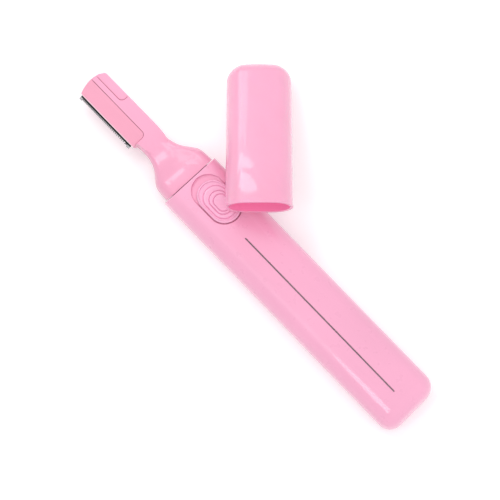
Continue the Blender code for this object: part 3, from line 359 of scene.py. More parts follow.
def paint_glow(material, colour, strength):
    """A painted glow: a faint light of its own, standing in for the light that comes through the cap's wall to
    its inside.
    """
    shader = shader_of(material)
    shader.inputs["Emission Color"].default_value = (*colour, 1)
    shader.inputs["Emission Strength"].default_value = strength


def worked_metal(name, colour, roughness, stretch, grain):
    """Metal with the fine lines that grinding, drawing or stamping leaves."""
    material, tree, shader = new_material(name)
    lines = noise(tree, LINE_SCALE, LINE_DETAIL, stretch)
    tint(tree, shader, lines, colour, LINE_SHADE)
    low, high = (roughness * share for share in LINE_ROUGHNESS)
    tree.links.new(spread(tree, lines, low, high), shader.inputs["Roughness"])
    relief(tree, shader, lines, grain, LINE_DEPTH)
    shader.inputs["Metallic"].default_value = 1
    return material


def across(tree, low, high):
    """Goes from 0 to 1 between two places along Y."""
    place = tree.nodes.new("ShaderNodeTexCoord")
    parts = tree.nodes.new("ShaderNodeSeparateXYZ")
    node = tree.nodes.new("ShaderNodeMapRange")
    node.inputs["From Min"].default_value = low
    node.inputs["From Max"].default_value = high
    tree.links.new(place.outputs["Object"], parts.inputs["Vector"])
    tree.links.new(parts.outputs["Y"], node.inputs["Value"])
    return node.outputs["Result"]


def paint_light_band(material, low, high, colour, before):
    """Paints a band of highlight or shade into a material: another colour before or after a narrow change from
    low to high along Y.
    """
    tree, shader = material.node_tree, shader_of(material)
    own = shader.inputs["Base Color"].links[0].from_socket
    other_socket, own_socket = ("A", "B") if before else ("B", "A")
    node = tree.nodes.new("ShaderNodeMix")
    node.data_type = "RGBA"
    node.inputs[other_socket].default_value = (*colour, 1)
    tree.links.new(across(tree, low, high), node.inputs["Factor"])
    tree.links.new(own, node.inputs[own_socket])
    tree.links.new(node.outputs["Result"], shader.inputs["Base Color"])


PINK = (0.945, 0.42, 0.61)
CAP_PINK = (0.925, 0.385, 0.565)
LIGHT_PINK = (0.9, 0.37, 0.545)
PLATE_PINK = (0.85, 0.345, 0.485)
PAINTED_SHADE_INSIDE_PINK = (0.86, 0.29, 0.5)
PAINTED_GLOW_PINK = (0.72, 0.22, 0.42)
KNOB_PINK = (0.94, 0.46, 0.66)
PAINTED_HIGHLIGHT_PINK = (0.97, 0.86, 0.9)
IVORY = (0.78, 0.77, 0.74)
SOOT = (0.035, 0.035, 0.04)
PAINTED_SHADE_BLACK = (0.012, 0.011, 0.013)
# Where along Y the plate's edge turns pale with a painted highlight, and where the bright teeth meet the land
# that is painted black as shade and dark reflection
PAINTED_HIGHLIGHT_EDGE = (-0.00584, -0.00574)
TOOTH_ROOTS = (-0.00636, -0.0063)
# How the lines in a metal are drawn out: along the piece, or not at all
DRAWN = (0.4, 5, 5)
STAMPED = (0.5, 5, 5)
EVEN = (1, 1, 1)

shell_plastic = moulded("shell_plastic", PINK, 0.3, gloss=0.45, grain=0.012)
cap_plastic = moulded("cap_plastic", CAP_PINK, 0.34, gloss=0.9, grain=0.01)
thin_wall(cap_plastic)
# The cap's inside: a darker, redder pink as painted shade, and a painted glow
cap_inside_painted_glow = moulded("cap_inside_painted_glow", PAINTED_SHADE_INSIDE_PINK, 0.4, gloss=0.1)
paint_glow(cap_inside_painted_glow, PAINTED_GLOW_PINK, 0.2)
head_plastic = moulded("head_plastic", LIGHT_PINK, 0.34, gloss=0.65, grain=0.01)
plate_plastic = moulded("plate_plastic", PLATE_PINK, 0.33, gloss=0.15)
# The plate's outer edge gets a painted highlight: a near-white band along it
paint_light_band(plate_plastic, *PAINTED_HIGHLIGHT_EDGE, PAINTED_HIGHLIGHT_PINK, before=True)
knob_plastic = moulded("knob_plastic", KNOB_PINK, 0.27, gloss=0.3)
white_plastic = moulded("white_plastic", IVORY, 0.45, gloss=0, grain=0.06)
dark_plastic = moulded("dark_plastic", SOOT, 0.42, gloss=0.05, grain=0.06, variation=0.2)
trim_foil = worked_metal("trim_foil", (0.2, 0.17, 0.185), 0.32, (0.3, 4, 4), grain=0.06)
ground_steel = worked_metal("ground_steel", (0.34, 0.34, 0.35), 0.36, (6, 0.5, 6), grain=0.16)
# The blades' land is painted black as shade and dark reflection; the teeth beyond it stay bright
paint_light_band(ground_steel, *TOOTH_ROOTS, PAINTED_SHADE_BLACK, before=False)
plain_steel = worked_metal("plain_steel", (0.5, 0.51, 0.52), 0.3, EVEN, grain=0.08)
drawn_steel = worked_metal("drawn_steel", (0.55, 0.56, 0.57), 0.28, DRAWN, grain=0.1)
nickel = worked_metal("nickel", (0.68, 0.67, 0.64), 0.22, EVEN, grain=0.05)
stamped_brass = worked_metal("stamped_brass", (0.78, 0.57, 0.25), 0.3, STAMPED, grain=0.1)
stamped_copper = worked_metal("stamped_copper", (0.74, 0.39, 0.24), 0.34, STAMPED, grain=0.1)
cell_sleeve = moulded("cell_sleeve", (0.05, 0.065, 0.11), 0.3, gloss=0.3, grain=0.02, variation=0.1)


# Handle

HANDLE_STRIPS = 5
COLLAR_HOLE_INSET = 0.0029
COLLAR_HOLE_CORNER = 0.0028
RECESS_START = 0.0022
RECESS_LENGTH = 0.01825
RECESS_WIDTH = 0.0111
RECESS_DEPTH = 0.0011
RECESS_COVE = 0.0005
RECESS_OFFSET = 0.0009
RECESS_AT = (SHOULDER_X + RECESS_START + RECESS_LENGTH / 2, RECESS_OFFSET)
FLOOR_Z = HANDLE_THICKNESS - RECESS_DEPTH
PAN_FLOOR = 0.0009
PAN_GROWTH = 0.0008
PAN_Z = FLOOR_Z - PAN_FLOOR
PAN_TOP = 0.0123
STEM_SLOT_LENGTH = 0.0066
STEM_SLOT_WIDTH = 0.0036
TRIM_SETBACK = 0.0266
TRIM_START = SHOULDER_X + TRIM_SETBACK
TRIM_LENGTH = 0.067
TRIM_WIDTH = 0.0003
TRIM_OFFSET = 0.0012
TRIM_GAP = 0.0001
TRIM_DEPTH = 0.0002
TRIM_GROOVE_DEPTH = 0.0003
TRIM_EDGE = 0.00005
SCREW_HOLE_RADIUS = 0.0009
SCREW_HOLE_TOP = 0.0082
SINK_RADIUS = 0.00165
SINK_TOP = 0.0012
BOSS_RADIUS = 0.00165
BOSS_TOP = 0.0121
BACK_BOSS_RADIUS = 0.002
BACK_BOSS_TOP = 0.0021
BACK_HOLE_TOP = 0.004
COVER_START_X = 0.020075
FOOT_START_X = 0.020225
TONGUE_END_X = 0.0222
TONGUE_REACH = 0.00255
TONGUE_Y = 0.0044
TONGUE_HALF = 0.001
TONGUE_LOW = 0.00135
TONGUE_HIGH = 0.00195
GRIP_COUNT = 4
GRIP_START_X = 0.024275
GRIP_PITCH = 0.0016
GRIP_LENGTH = 0.0085
GRIP_WIDTH = 0.0007
GRIP_DEPTH = 0.0003
GRIP_STEPS = 24


def bar(name, low, high, front, back):
    """A bar along X with rounded long edges."""
    piece = block(name, low, high)
    for level, radius in ((high[Z], front), (low[Z], back)):
        round_edges(piece, lambda e: near(e[0].y, e[1].y) and all_at(e, Z, level), radius)
    return piece


def round_end(piece, x, radius, steps=CORNER_STEPS):
    """Rounds the edge all round one end of a bar."""
    round_edges(piece, lambda e: all(near(p.x, x, END_REACH) for p in e), radius, steps)


def lean(piece, x, share=1):
    """Leans a bar's end to a share of the shoulder's slant: a turn, then a stretch to the old height."""
    angle = math.atan(share * SHOULDER_SLANT)
    centre = (x, 0, MID_Z)
    pick(piece, "VERT", lambda c: near(c[0].x, x, LEAN_REACH))
    # With no window, rotate turns the other way
    bpy.ops.transform.rotate(value=-angle, orient_axis="Y", center_override=centre)
    stretch = 1 / math.cos(angle)
    bpy.ops.transform.resize(value=(stretch, 1, stretch), center_override=centre)
    close()


def handle_bar(name, skin):
    """The handle's outside, or with a skin the hollow that leaves such a wall."""
    low = (SHOULDER_X + skin, skin - HANDLE_WIDTH / 2, skin)
    high = (BUTT_X - skin, HANDLE_WIDTH / 2 - skin, HANDLE_THICKNESS - FRONT_CROWN - skin)
    piece = bar(name, low, high, FRONT_CORNER - skin, BACK_CORNER - skin)
    if not skin:
        flat = HANDLE_WIDTH / 2 - FRONT_CORNER
        slice_strips(piece, flat, HANDLE_STRIPS)
        crown(piece, (1,), MID_Z - FRONT_CROWN - NEAR, FRONT_CROWN, flat)
        one_face(piece, SHOULDER_X)
        one_face(piece, BUTT_X)
    bend(piece, lambda p: near(p.x, high[X]), lambda y: (-BUTT_SLANT * (y / HANDLE_WIDTH + 0.5), 0, 0))
    round_end(piece, BUTT_X - skin, BUTT_CORNER - skin)
    lean(piece, SHOULDER_X + skin)
    if not skin:
        round_end(piece, SHOULDER_X, SHOULDER_EDGE, FINE_STEPS)
    return piece


def stadium(name, centre, length, width, low, high, steps=RECESS_STEPS):
    """A bar with half-round ends, standing on end."""
    piece = rod(name, centre, width / 2, low, high, steps=steps)
    for side in (-1, 1):
        move = (side * (length - width) / 2, 0, 0)
        shift(piece, lambda c: side * (c[0].x - centre[0]) > NEAR, move)
    return piece


def collar_hole():
    """The hole in the shoulder's wall that the head's collar passes through."""
    half_y, half_z = HANDLE_WIDTH / 2 - COLLAR_HOLE_INSET, MID_Z - COLLAR_HOLE_INSET
    low = (SHOULDER_X - OVERRUN, -half_y, MID_Z - half_z)
    high = (SHOULDER_X + OVERRUN, half_y, MID_Z + half_z)
    return bar("collar_hole", low, high, COLLAR_HOLE_CORNER, COLLAR_HOLE_CORNER)


def screw_places():
    for node in ("case_screw_1", "case_screw_2"):
        low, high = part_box(node)
        yield (low[X] + high[X]) / 2, (low[Y] + high[Y]) / 2


def recess_tool():
    """What the switch's recess takes out: a round-ended pocket with a coved floor."""
    top = HANDLE_THICKNESS + OVERRUN
    piece = stadium("recess", RECESS_AT, RECESS_LENGTH, RECESS_WIDTH, FLOOR_Z, top)
    round_edges(piece, lambda e: all_at(e, Z, FLOOR_Z), RECESS_COVE, EDGE_STEPS)
    return piece


def trim_groove():
    half = TRIM_WIDTH / 2 + TRIM_GAP
    low = (TRIM_START - TRIM_GAP, -TRIM_OFFSET - half, HANDLE_THICKNESS - TRIM_GROOVE_DEPTH)
    high = (TRIM_START + TRIM_LENGTH + TRIM_GAP, half - TRIM_OFFSET, HANDLE_THICKNESS + OVERRUN)
    return block("trim_groove", low, high)


def make_front():
    piece = handle_bar("handle_front", 0)
    combine(piece, handle_bar("front_hollow", WALL))
    combine(piece, block("front_parting", (-FAR, -FAR, -FAR), (FAR, FAR, PARTING_HEIGHT + FIT / 2)))
    pan_size = (RECESS_LENGTH + PAN_GROWTH, RECESS_WIDTH + PAN_GROWTH)
    combine(piece, stadium("pan", RECESS_AT, *pan_size, PAN_Z, PAN_TOP), how="UNION")
    combine(piece, recess_tool())
    slot = (STEM_SLOT_LENGTH, STEM_SLOT_WIDTH, PAN_Z - OVERRUN, FLOOR_Z + OVERRUN, HOLE_STEPS)
    combine(piece, stadium("stem_slot", RECESS_AT, *slot))
    combine(piece, trim_groove())
    combine(piece, collar_hole())
    for place in screw_places():
        combine(piece, rod("boss", place, BOSS_RADIUS, PARTING_HEIGHT + FIT, BOSS_TOP), how="UNION")
        combine(piece, rod("screw_hole", place, SCREW_HOLE_RADIUS, 0, SCREW_HOLE_TOP))
    dress(piece, shell_plastic, "handle", "front_shell")


def back_half(name, low_x, high_x):
    """The handle's back below the parting line, without what lies before low_x or past high_x."""
    piece = handle_bar(name, 0)
    combine(piece, handle_bar("back_hollow", WALL))
    combine(piece, block("back_parting", (-FAR, -FAR, PARTING_HEIGHT - FIT / 2), (FAR, FAR, FAR)))
    if low_x is not None:
        combine(piece, block("front_rest", (-FAR, -FAR, -FAR), (low_x, FAR, FAR)))
    if high_x is not None:
        combine(piece, block("back_rest", (high_x, -FAR, -FAR), (FAR, FAR, FAR)))
    return piece


def make_back():
    piece = back_half("handle_back", None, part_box("back_shell")[1][X])
    combine(piece, collar_hole())
    for place in screw_places():
        combine(piece, rod("boss", place, BACK_BOSS_RADIUS, WALL / 2, BACK_BOSS_TOP), how="UNION")
        combine(piece, rod("screw_sink", place, SINK_RADIUS, -SHORT_OVERRUN, SINK_TOP))
        combine(piece, rod("screw_hole", place, SCREW_HOLE_RADIUS, -SHORT_OVERRUN, BACK_HOLE_TOP))
    dress(piece, shell_plastic, "handle", "back_shell")


def make_cover():
    """The battery cover: two tongues that hook into the back casing, and a grip of cross grooves."""
    piece = back_half("battery_door", COVER_START_X, None)
    for side in (-1, 1):
        low_y, high_y = side * TONGUE_Y - TONGUE_HALF, side * TONGUE_Y + TONGUE_HALF
        high = (TONGUE_END_X, high_y, TONGUE_HIGH)
        for name, low_x, low_z in (
            ("tongue", COVER_START_X - TONGUE_REACH, TONGUE_LOW), ("foot", FOOT_START_X, WALL / 2),
        ):
            combine(piece, block(name, (low_x, low_y, low_z), high), how="UNION")
    for i in range(GRIP_COUNT):
        heights = (-SHORT_OVERRUN, GRIP_DEPTH)
        groove = stadium("groove", (0, 0), GRIP_LENGTH, GRIP_WIDTH, *heights, GRIP_STEPS)
        take(groove)
        groove.rotation_euler = (0, 0, math.pi / 2)
        groove.location = (GRIP_START_X + i * GRIP_PITCH, 0, 0)
        bpy.ops.object.transform_apply(location=True, rotation=True, scale=True)
        combine(piece, groove)
    dress(piece, shell_plastic, "cover", "battery_cover")


def make_trim():
    low = (TRIM_START, -TRIM_OFFSET - TRIM_WIDTH / 2, HANDLE_THICKNESS - TRIM_DEPTH)
    high = (TRIM_START + TRIM_LENGTH, TRIM_WIDTH / 2 - TRIM_OFFSET, HANDLE_THICKNESS)
    piece = block("silver_line", low, high)
    soften(piece, TRIM_EDGE, steps=2)
    dress(piece, trim_foil, "handle", "trim_line")


# Switch

TRAVEL = 0.002
KNOB_PLAY = 0.0009
KNOB_LENGTH = RECESS_LENGTH - KNOB_PLAY - TRAVEL
KNOB_WIDTH = RECESS_WIDTH - KNOB_PLAY
KNOB_AT = (RECESS_AT[X] + TRAVEL / 2, RECESS_AT[Y])
KNOB_SINK = 0.0001
KNOB_EDGE = 0.0001
STEM_LENGTH = 0.004
STEM_WIDTH = 0.003
# Each step of the switch's top: its length and width as shares of the knob's, how far it rises, and its shift
KNOB_STEPS = (
    (0.99, 0.984, 0.0001, 0, 0),
    (0.95, 0.925, 0.00026, 0, 0),
    (0.93, 0.895, 0, 0, 0),
    (0.91, 0.865, -0.0004, 0, 0),
    (0.77, 0.815, 0.00006, 0.0004, 0.00008),
    (0.75, 0.785, -0.0003, 0, 0),
    (0.725, 0.75, 0.00072, 0, 0),
    (0.55, 0.62, 0.00002, 0.0004, 0.00014),
    (0.525, 0.585, -0.0004, 0, 0),
    (0.495, 0.545, 0.0008, 0, 0),
    (0.395, 0.46, 0, 0.0003, 0.0001),
    (0.375, 0.43, -0.0004, 0, 0),
    (0.35, 0.395, 0.00068, 0, 0),
    (0.2, 0.24, -0.00006, 0, 0),
)


def make_knob():
    """The sliding switch: a round-ended slab whose middle rises in rounded terraces."""
    level = HANDLE_THICKNESS - KNOB_SINK
    x, y = KNOB_AT
    piece = stadium("switch_slider", KNOB_AT, KNOB_LENGTH, KNOB_WIDTH, FLOOR_Z + FIT, level)
    length, width = 1, 1
    pick(piece, "FACE", lambda corners: all_at(corners, Z, level))
    for new_length, new_width, rise, move_x, move_y in KNOB_STEPS:
        bpy.ops.mesh.extrude_region_move(TRANSFORM_OT_translate={"value": (0, 0, rise)})
        level += rise
        share = (new_length / length, new_width / width, 1)
        bpy.ops.transform.resize(value=share, center_override=(x, y, level))
        bpy.ops.transform.translate(value=(move_x, move_y, 0))
        x, y = x + move_x, y + move_y
        length, width = new_length, new_width
    close()
    soften(piece, KNOB_EDGE, degrees=25)
    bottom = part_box("switch_knob")[0][Z]
    stem = stadium("stem", KNOB_AT, STEM_LENGTH, STEM_WIDTH, bottom, FLOOR_Z + 2 * FIT, HOLE_STEPS)
    combine(piece, stem, how="UNION")
    dress(piece, knob_plastic, "switch", "switch_knob")


# Cap

CAP_LENGTH = 0.051
CAP_CORNER = 0.005
CAP_WALL = 0.00095
CAP_MOUTH_AT = (-0.0037, 0.0064)
CAP_SLANT_SHARE = -1.8
CAP_MOUTH_EXTRA = 0.00115
CAP_CROWN = 0.0008
CAP_FLOOR = 0.0005
CAP_SIDE = 0.0054
CAP_DOME = 0.0004
CAP_TAPER = 0.965
CAP_EDGE = 0.00018
CAP_STRIPS = 6
CAP_TURN = math.radians(136.7)
CAP_LEAN = math.radians(19.438)


def cap_bar(name, skin):
    """The cap's outside or its hollow: flat only along its middle lines, narrower toward the closed end."""
    end = CAP_LENGTH - skin
    floor = skin + CAP_CROWN + (CAP_FLOOR if skin else 0)
    low = (-OVERRUN if skin else -CAP_MOUTH_EXTRA, skin - HANDLE_WIDTH / 2, floor)
    high = (end, HANDLE_WIDTH / 2 - skin, HANDLE_THICKNESS - FRONT_CROWN - skin - CAP_CROWN)
    piece = bar(name, low, high, CAP_SIDE - skin, CAP_SIDE - skin)
    flat = HANDLE_WIDTH / 2 - CAP_SIDE
    slice_strips(piece, flat, CAP_STRIPS)
    crown(piece, (-1, 1), NEAR, CAP_CROWN, high[Y])
    one_face(piece, low[X])
    one_face(piece, end)
    bend(piece, lambda p: near(p.x, end), lambda y: (-CAP_DOME * (y / flat / 2) ** 2, 0, 0))
    round_end(piece, end, CAP_CORNER - skin)
    lean(piece, low[X], CAP_SLANT_SHARE)
    pick(piece, "VERT", lambda c: c[0].x > CAP_LENGTH / 2)
    bpy.ops.transform.resize(value=(1, CAP_TAPER, 1), center_override=(0, 0, 0))
    close()
    return piece


def make_cap():
    """The cap lies aslant the handle: its closed end on the floor, its mouth raised."""
    piece = cap_bar("protective_cap", 0)
    hollow = cap_bar("cap_hollow", CAP_WALL)
    piece.data.materials.append(cap_plastic)
    hollow.data.materials.append(cap_inside_painted_glow)
    combine(piece, hollow)
    take(piece)
    piece.rotation_euler = (0, CAP_LEAN, CAP_TURN)
    bpy.ops.object.transform_apply(location=False, rotation=True, scale=False)
    piece.location = (*CAP_MOUTH_AT, -min(v.co.z for v in piece.data.vertices))
    bpy.ops.object.transform_apply(location=True, rotation=False, scale=False)
    soften(piece, CAP_EDGE, degrees=50)
    dress(piece, cap_plastic, "cap", "cap")


# Head

# What is left of the bulb's extra size at places along it, both as shares
BULB_PLACES = (0, 0.15, 0.273, 0.384, 0.48, 0.587, 0.703, 0.83, 1)
BULB_SIZES = (1, 0.988, 0.955, 0.86, 0.66, 0.418, 0.212, 0.078, 0)
BULB_STATIONS = 32
BULB_RISE_SHARE = 0.84
BULB_INSET = 0.001
COLLAR_INSET = 0.0022
LIP_GROWTH = (0.0008, 0.0004)
LIP_LENGTH = 0.001
HOLLOW_START = 0.003
NECK_HALF_WIDTH = 0.00425
HEAD_CROWN_SHARE = 0.17
HEAD_CORNER_SHARE = 0.9
HEAD_STRIPS = 6
FRAME_HALF = 0.0026
FRAME_SHORT = 0.00015
FRAME_EDGE = 0.0004
BLADE_SIDE = -0.0052
OPEN_SIDE = 0.0044
TIP_CORNERS = ((OPEN_SIDE, 0.0013), (BLADE_SIDE, 0.0004))
TIP_SAG = 0.0009
TIP_REACH = 0.0014
TIP_STRIPS = 12
TIP_WALL = 0.0005
# The frame's root, sunk into the neck: each step's length, low side, high side and half thickness
FRAME_ROOT = (
    (0.0007, -0.0042, 0.0044, 0.0026), (0.0032, -0.0038, 0.0042, 0.0026),
    (0.0016, -0.0034, 0.0038, 0.0025), (0.002, -0.003, 0.003, 0.002),
)
ROOM_LOW_X = TIP_X + TIP_SAG + TIP_WALL
ROOM_HIGH_X = FRAME_X - FIT
LAYER = 0.00065
MOVING_Z = MID_Z
FIXED_Z = MOVING_Z + LAYER
PLATE_Z = FIXED_Z + LAYER
ROD_DROP = 0.00135
BLADE_ROOM_SIDE = -0.0015
CARRIER_ROOM = (-0.0047, -0.0009)
ROD_CHANNEL = (-0.0028, -0.0012)
STEP_LENGTH = 0.0119
STEP_WIDTH = 0.0028
STEP_X = TIP_X + STEP_LENGTH
STEP_Y = OPEN_SIDE - STEP_WIDTH
STEP_DEPTH = 0.0006
INNER_CORNER = 0.0016
PLATE_SIDE = -0.00045
PLATE_EDGE = -0.0059
PLATE_THIN = 0.0005
PLATE_SOFT = 0.00012


def bulb_size(share):
    """How much of the bulb's extra size is left at a share of its length, on a smooth curve."""
    last = len(BULB_PLACES) - 2
    i = max(k for k in range(last + 1) if BULB_PLACES[k] <= share)

    def slope(k):
        k = min(max(k, 1), last)
        return (BULB_SIZES[k + 1] - BULB_SIZES[k - 1]) / (BULB_PLACES[k + 1] - BULB_PLACES[k - 1])

    gap = BULB_PLACES[i + 1] - BULB_PLACES[i]
    t = (share - BULB_PLACES[i]) / gap
    first = 0 if i == 0 else slope(i)
    second = 0 if i == last else slope(i + 1)
    value = BULB_SIZES[i] * (2 * t**3 - 3 * t**2 + 1) + first * gap * (t**3 - 2 * t**2 + t)
    return value + BULB_SIZES[i + 1] * (3 * t**2 - 2 * t**3) + second * gap * (t**3 - t**2)


def head_stations(skin):
    """Rings of the head from the collar's lip to the frame: place, half width, half thickness, slant."""
    half_y, half_z = HANDLE_WIDTH / 2 - BULB_INSET, MID_Z - BULB_INSET
    collar = (half_y - COLLAR_INSET - skin, half_z - COLLAR_INSET - skin)
    lip_start = SHOULDER_X + WALL + FIT
    if skin:
        rings = [(lip_start + HOLLOW_START, *collar, 1)]
    else:
        lip = (collar[0] + LIP_GROWTH[0], collar[1] + LIP_GROWTH[1])
        rings = [(lip_start + LIP_LENGTH, *lip, 1), (lip_start, *lip, 1), (lip_start, *collar, 1)]
    shoulder = SHOULDER_X - SHOULDER_SEAM - skin
    rings.append((shoulder, *collar, 1))
    for i in range(BULB_STATIONS + 1):
        size = bulb_size(i / BULB_STATIONS)
        wide = NECK_HALF_WIDTH + (half_y - NECK_HALF_WIDTH) * size - skin
        rise = bulb_size(min(1, i / BULB_STATIONS / BULB_RISE_SHARE))
        thick = FRAME_HALF + (half_z - FRAME_HALF) * rise - skin
        rings.append((shoulder - BULB_LENGTH * i / BULB_STATIONS, wide, thick, size))
    rings.append((FRAME_X, NECK_HALF_WIDTH - skin, FRAME_HALF - skin, 0))
    return rings


def head_outline(name, x, half_y, half_z):
    """A face across the head: a rectangle with round corners, its long sides crowned."""
    rise = half_z * HEAD_CROWN_SHARE
    level = half_z - rise
    corner = level * HEAD_CORNER_SHARE
    flat = half_y - corner
    deselect()
    bpy.ops.mesh.primitive_plane_add(size=1, location=(x, 0, MID_Z), rotation=(0, math.pi / 2, 0))
    bpy.context.object.scale = (2 * level, 2 * half_y, 1)
    piece = settle(name)
    pick(piece, "VERT", lambda c: True)
    bevel(corner, affect="VERTICES")
    close()
    slice_strips(piece, flat, HEAD_STRIPS)
    crown(piece, (-1, 1), level - NEAR, rise, flat)
    pick(piece, "VERT", lambda c: True)
    bpy.ops.mesh.dissolve_faces()
    close()
    return piece


def head_body(name, skin):
    """Extruded ring by ring along the head from a round-cornered outline."""
    rings = head_stations(skin)
    x, half_y, half_z, slant = rings[0]
    piece = head_outline(name, x, half_y, half_z)
    lean(piece, x)
    pick(piece, "VERT", lambda c: True)
    for new_x, new_y, new_z, new_slant in rings[1:]:
        bpy.ops.mesh.extrude_region_move(TRANSFORM_OT_translate={"value": (new_x - x, 0, 0)})
        along = new_slant / slant * new_z / half_z if slant else 1
        size = (along, new_y / half_y, new_z / half_z)
        bpy.ops.transform.resize(value=size, center_override=(new_x, 0, MID_Z))
        x, half_y, half_z, slant = new_x, new_y, new_z, new_slant
    bpy.ops.mesh.select_all(action="SELECT")
    bpy.ops.mesh.normals_make_consistent(inside=False)
    close()
    return piece


def round_tip(piece):
    """Rounds the tip in plan: slices across it, and each drawn back the more it is to the side."""
    middle, half = (BLADE_SIDE + OPEN_SIDE) / 2, (OPEN_SIDE - BLADE_SIDE) / 2
    for i in range(1, TIP_STRIPS):
        slice_at(piece, BLADE_SIDE + 2 * half * i / TIP_STRIPS)
    bend(
        piece, lambda p: p.x < TIP_X + TIP_REACH,
        lambda y: (TIP_SAG * ((y - middle) / half) ** 2, 0, 0),
    )


def head_frame(name):
    """The flat frame that carries the blades, and its root in the neck."""
    low = (TIP_X, BLADE_SIDE, MID_Z - FRAME_HALF)
    high = (FRAME_X - FRAME_SHORT, OPEN_SIDE, MID_Z + FRAME_HALF)
    piece = block(name, low, high)
    for side, radius in TIP_CORNERS:
        round_edges(
            piece, lambda e: all_at(e, X, TIP_X) and all_at(e, Y, side), radius, SMALL_CORNER_STEPS
        )
    for level in (low[Z], high[Z]):
        round_edges(
            piece, lambda e: all_at(e, Z, level) and not all_at(e, X, high[X]), FRAME_EDGE, FINE_STEPS
        )
    round_tip(piece)
    x, low_y, high_y, thick = high[X], low[Y], high[Y], FRAME_HALF
    pick(piece, "FACE", lambda corners: all_at(corners, X, high[X]))
    for step, new_low, new_high, new_thick in FRAME_ROOT:
        x += step
        bpy.ops.mesh.extrude_region_move(TRANSFORM_OT_translate={"value": (step, 0, 0)})
        size = (1, (new_high - new_low) / (high_y - low_y), new_thick / thick)
        bpy.ops.transform.resize(value=size, center_override=(x, (low_y + high_y) / 2, MID_Z))
        bpy.ops.transform.translate(value=(0, (new_low + new_high - low_y - high_y) / 2, 0))
        low_y, high_y, thick = new_low, new_high, new_thick
    close()
    return piece


def blade_rooms(floor):
    """The room for the blades down to a floor, the carrier's below it, and the rod's channel."""
    rod_floor = MID_Z - ROD_DROP - FIT
    rooms = (
        ("blade_slot", ROOM_LOW_X, ROOM_HIGH_X, (-FAR, BLADE_ROOM_SIDE), floor, PLATE_Z + OVERRUN),
        ("carrier_room", ROOM_LOW_X, ROOM_HIGH_X, CARRIER_ROOM, rod_floor, MID_Z + OVERRUN),
        ("rod_channel", ROOM_HIGH_X - FIT, FRAME_X + OVERRUN, ROD_CHANNEL, rod_floor, MID_Z + FIT),
    )
    for name, low_x, high_x, (low_y, high_y), low_z, high_z in rooms:
        yield block(name, (low_x, low_y, low_z), (high_x, high_y, high_z))


def corner_block(name, low, high, x, y, radius):
    """A block whose upright edge at x and y is rounded."""
    piece = block(name, low, high)
    round_edges(piece, lambda e: all_at(e, X, x) and all_at(e, Y, y), radius, SMALL_CORNER_STEPS)
    return piece


def step_tool(name, low_z, grow):
    """The corner that is stepped down beside the blades, with a rounded inner corner."""
    x, y = STEP_X + grow, STEP_Y - grow
    return corner_block(name, (-FAR, y, low_z), (x, FAR, FAR), x, y, INNER_CORNER)


def plate_room():
    """The seat of the plate over the blades, a seam wider than the plate."""
    x, y = FRAME_X + FIT, PLATE_SIDE + SEAM
    return corner_block("plate_room", (-FAR, -FAR, PLATE_Z - FIT), (x, y, FAR), x, y, INNER_CORNER + SEAM)


def make_head():
    """The head's two halves, cut from one body at the parting line and given their rooms."""
    top = head_body("head_front", 0)
    combine(top, head_frame("frame_bar"), how="UNION")
    combine(top, head_body("head_hollow", HEAD_WALL))
    bottom = top.copy()
    bottom.data = top.data.copy()
    bottom.name = "head_back"
    bottom.data.name = "head_back"
    bpy.context.scene.collection.objects.link(bottom)
    combine(top, block("under", (-FAR, -FAR, -FAR), (FAR, FAR, MID_Z + FIT / 2)))
    combine(top, *blade_rooms(MID_Z - OVERRUN))
    combine(top, plate_room())
    combine(top, step_tool("step_room", -FAR, 2 * SEAM))
    above = block("above", (-FAR, -FAR, MID_Z - FIT / 2), (FAR, FAR, FAR))
    combine(above, step_tool("kept_corner", 0, 0))
    combine(bottom, above)
    step_top = MID_Z + FRAME_HALF - STEP_DEPTH
    combine(bottom, block("step_top", (-FAR, -FAR, step_top), (FAR, FAR, FAR)))
    combine(bottom, *blade_rooms(MOVING_Z - FIT))
    dress(top, head_plastic, "handle", "head_front_half")
    dress(bottom, head_plastic, "handle", "head_back_half")


def make_plate():
    """The plate over the blades, falling from the frame's face to a thin edge over the teeth."""
    crest, edge = MID_Z + FRAME_HALF, PLATE_Z + PLATE_THIN
    end = FRAME_X + FIT - SEAM
    piece = block("blade_cover", (TIP_X, PLATE_EDGE, PLATE_Z), (end, PLATE_SIDE, crest))
    shift(piece, lambda c: near(c[0].y, PLATE_EDGE) and near(c[0].z, crest), (0, 0, edge - crest))
    round_edges(
        piece, lambda e: all_at(e, X, end) and all_at(e, Y, PLATE_SIDE), INNER_CORNER, SMALL_CORNER_STEPS
    )
    round_tip(piece)
    soften(piece, PLATE_SOFT, steps=2, degrees=50)
    dress(piece, plate_plastic, "handle", "blade_plate")


# Blades

BLADE_LAND = -0.00625
BLADE_BACK = -0.0018
BLADE_THICKNESS = 0.00035
BLADE_END = 0.0011
BLADE_EDGE = 0.00005
TOOTH_LENGTH = 0.0006
TOOTH_PITCH = 0.00072
TOOTH_GAP_SHARE = 0.45
END_HOOK = 0.00025
CUTTER_INSET = 0.0009
CUTTER_SHORTER = 0.0002


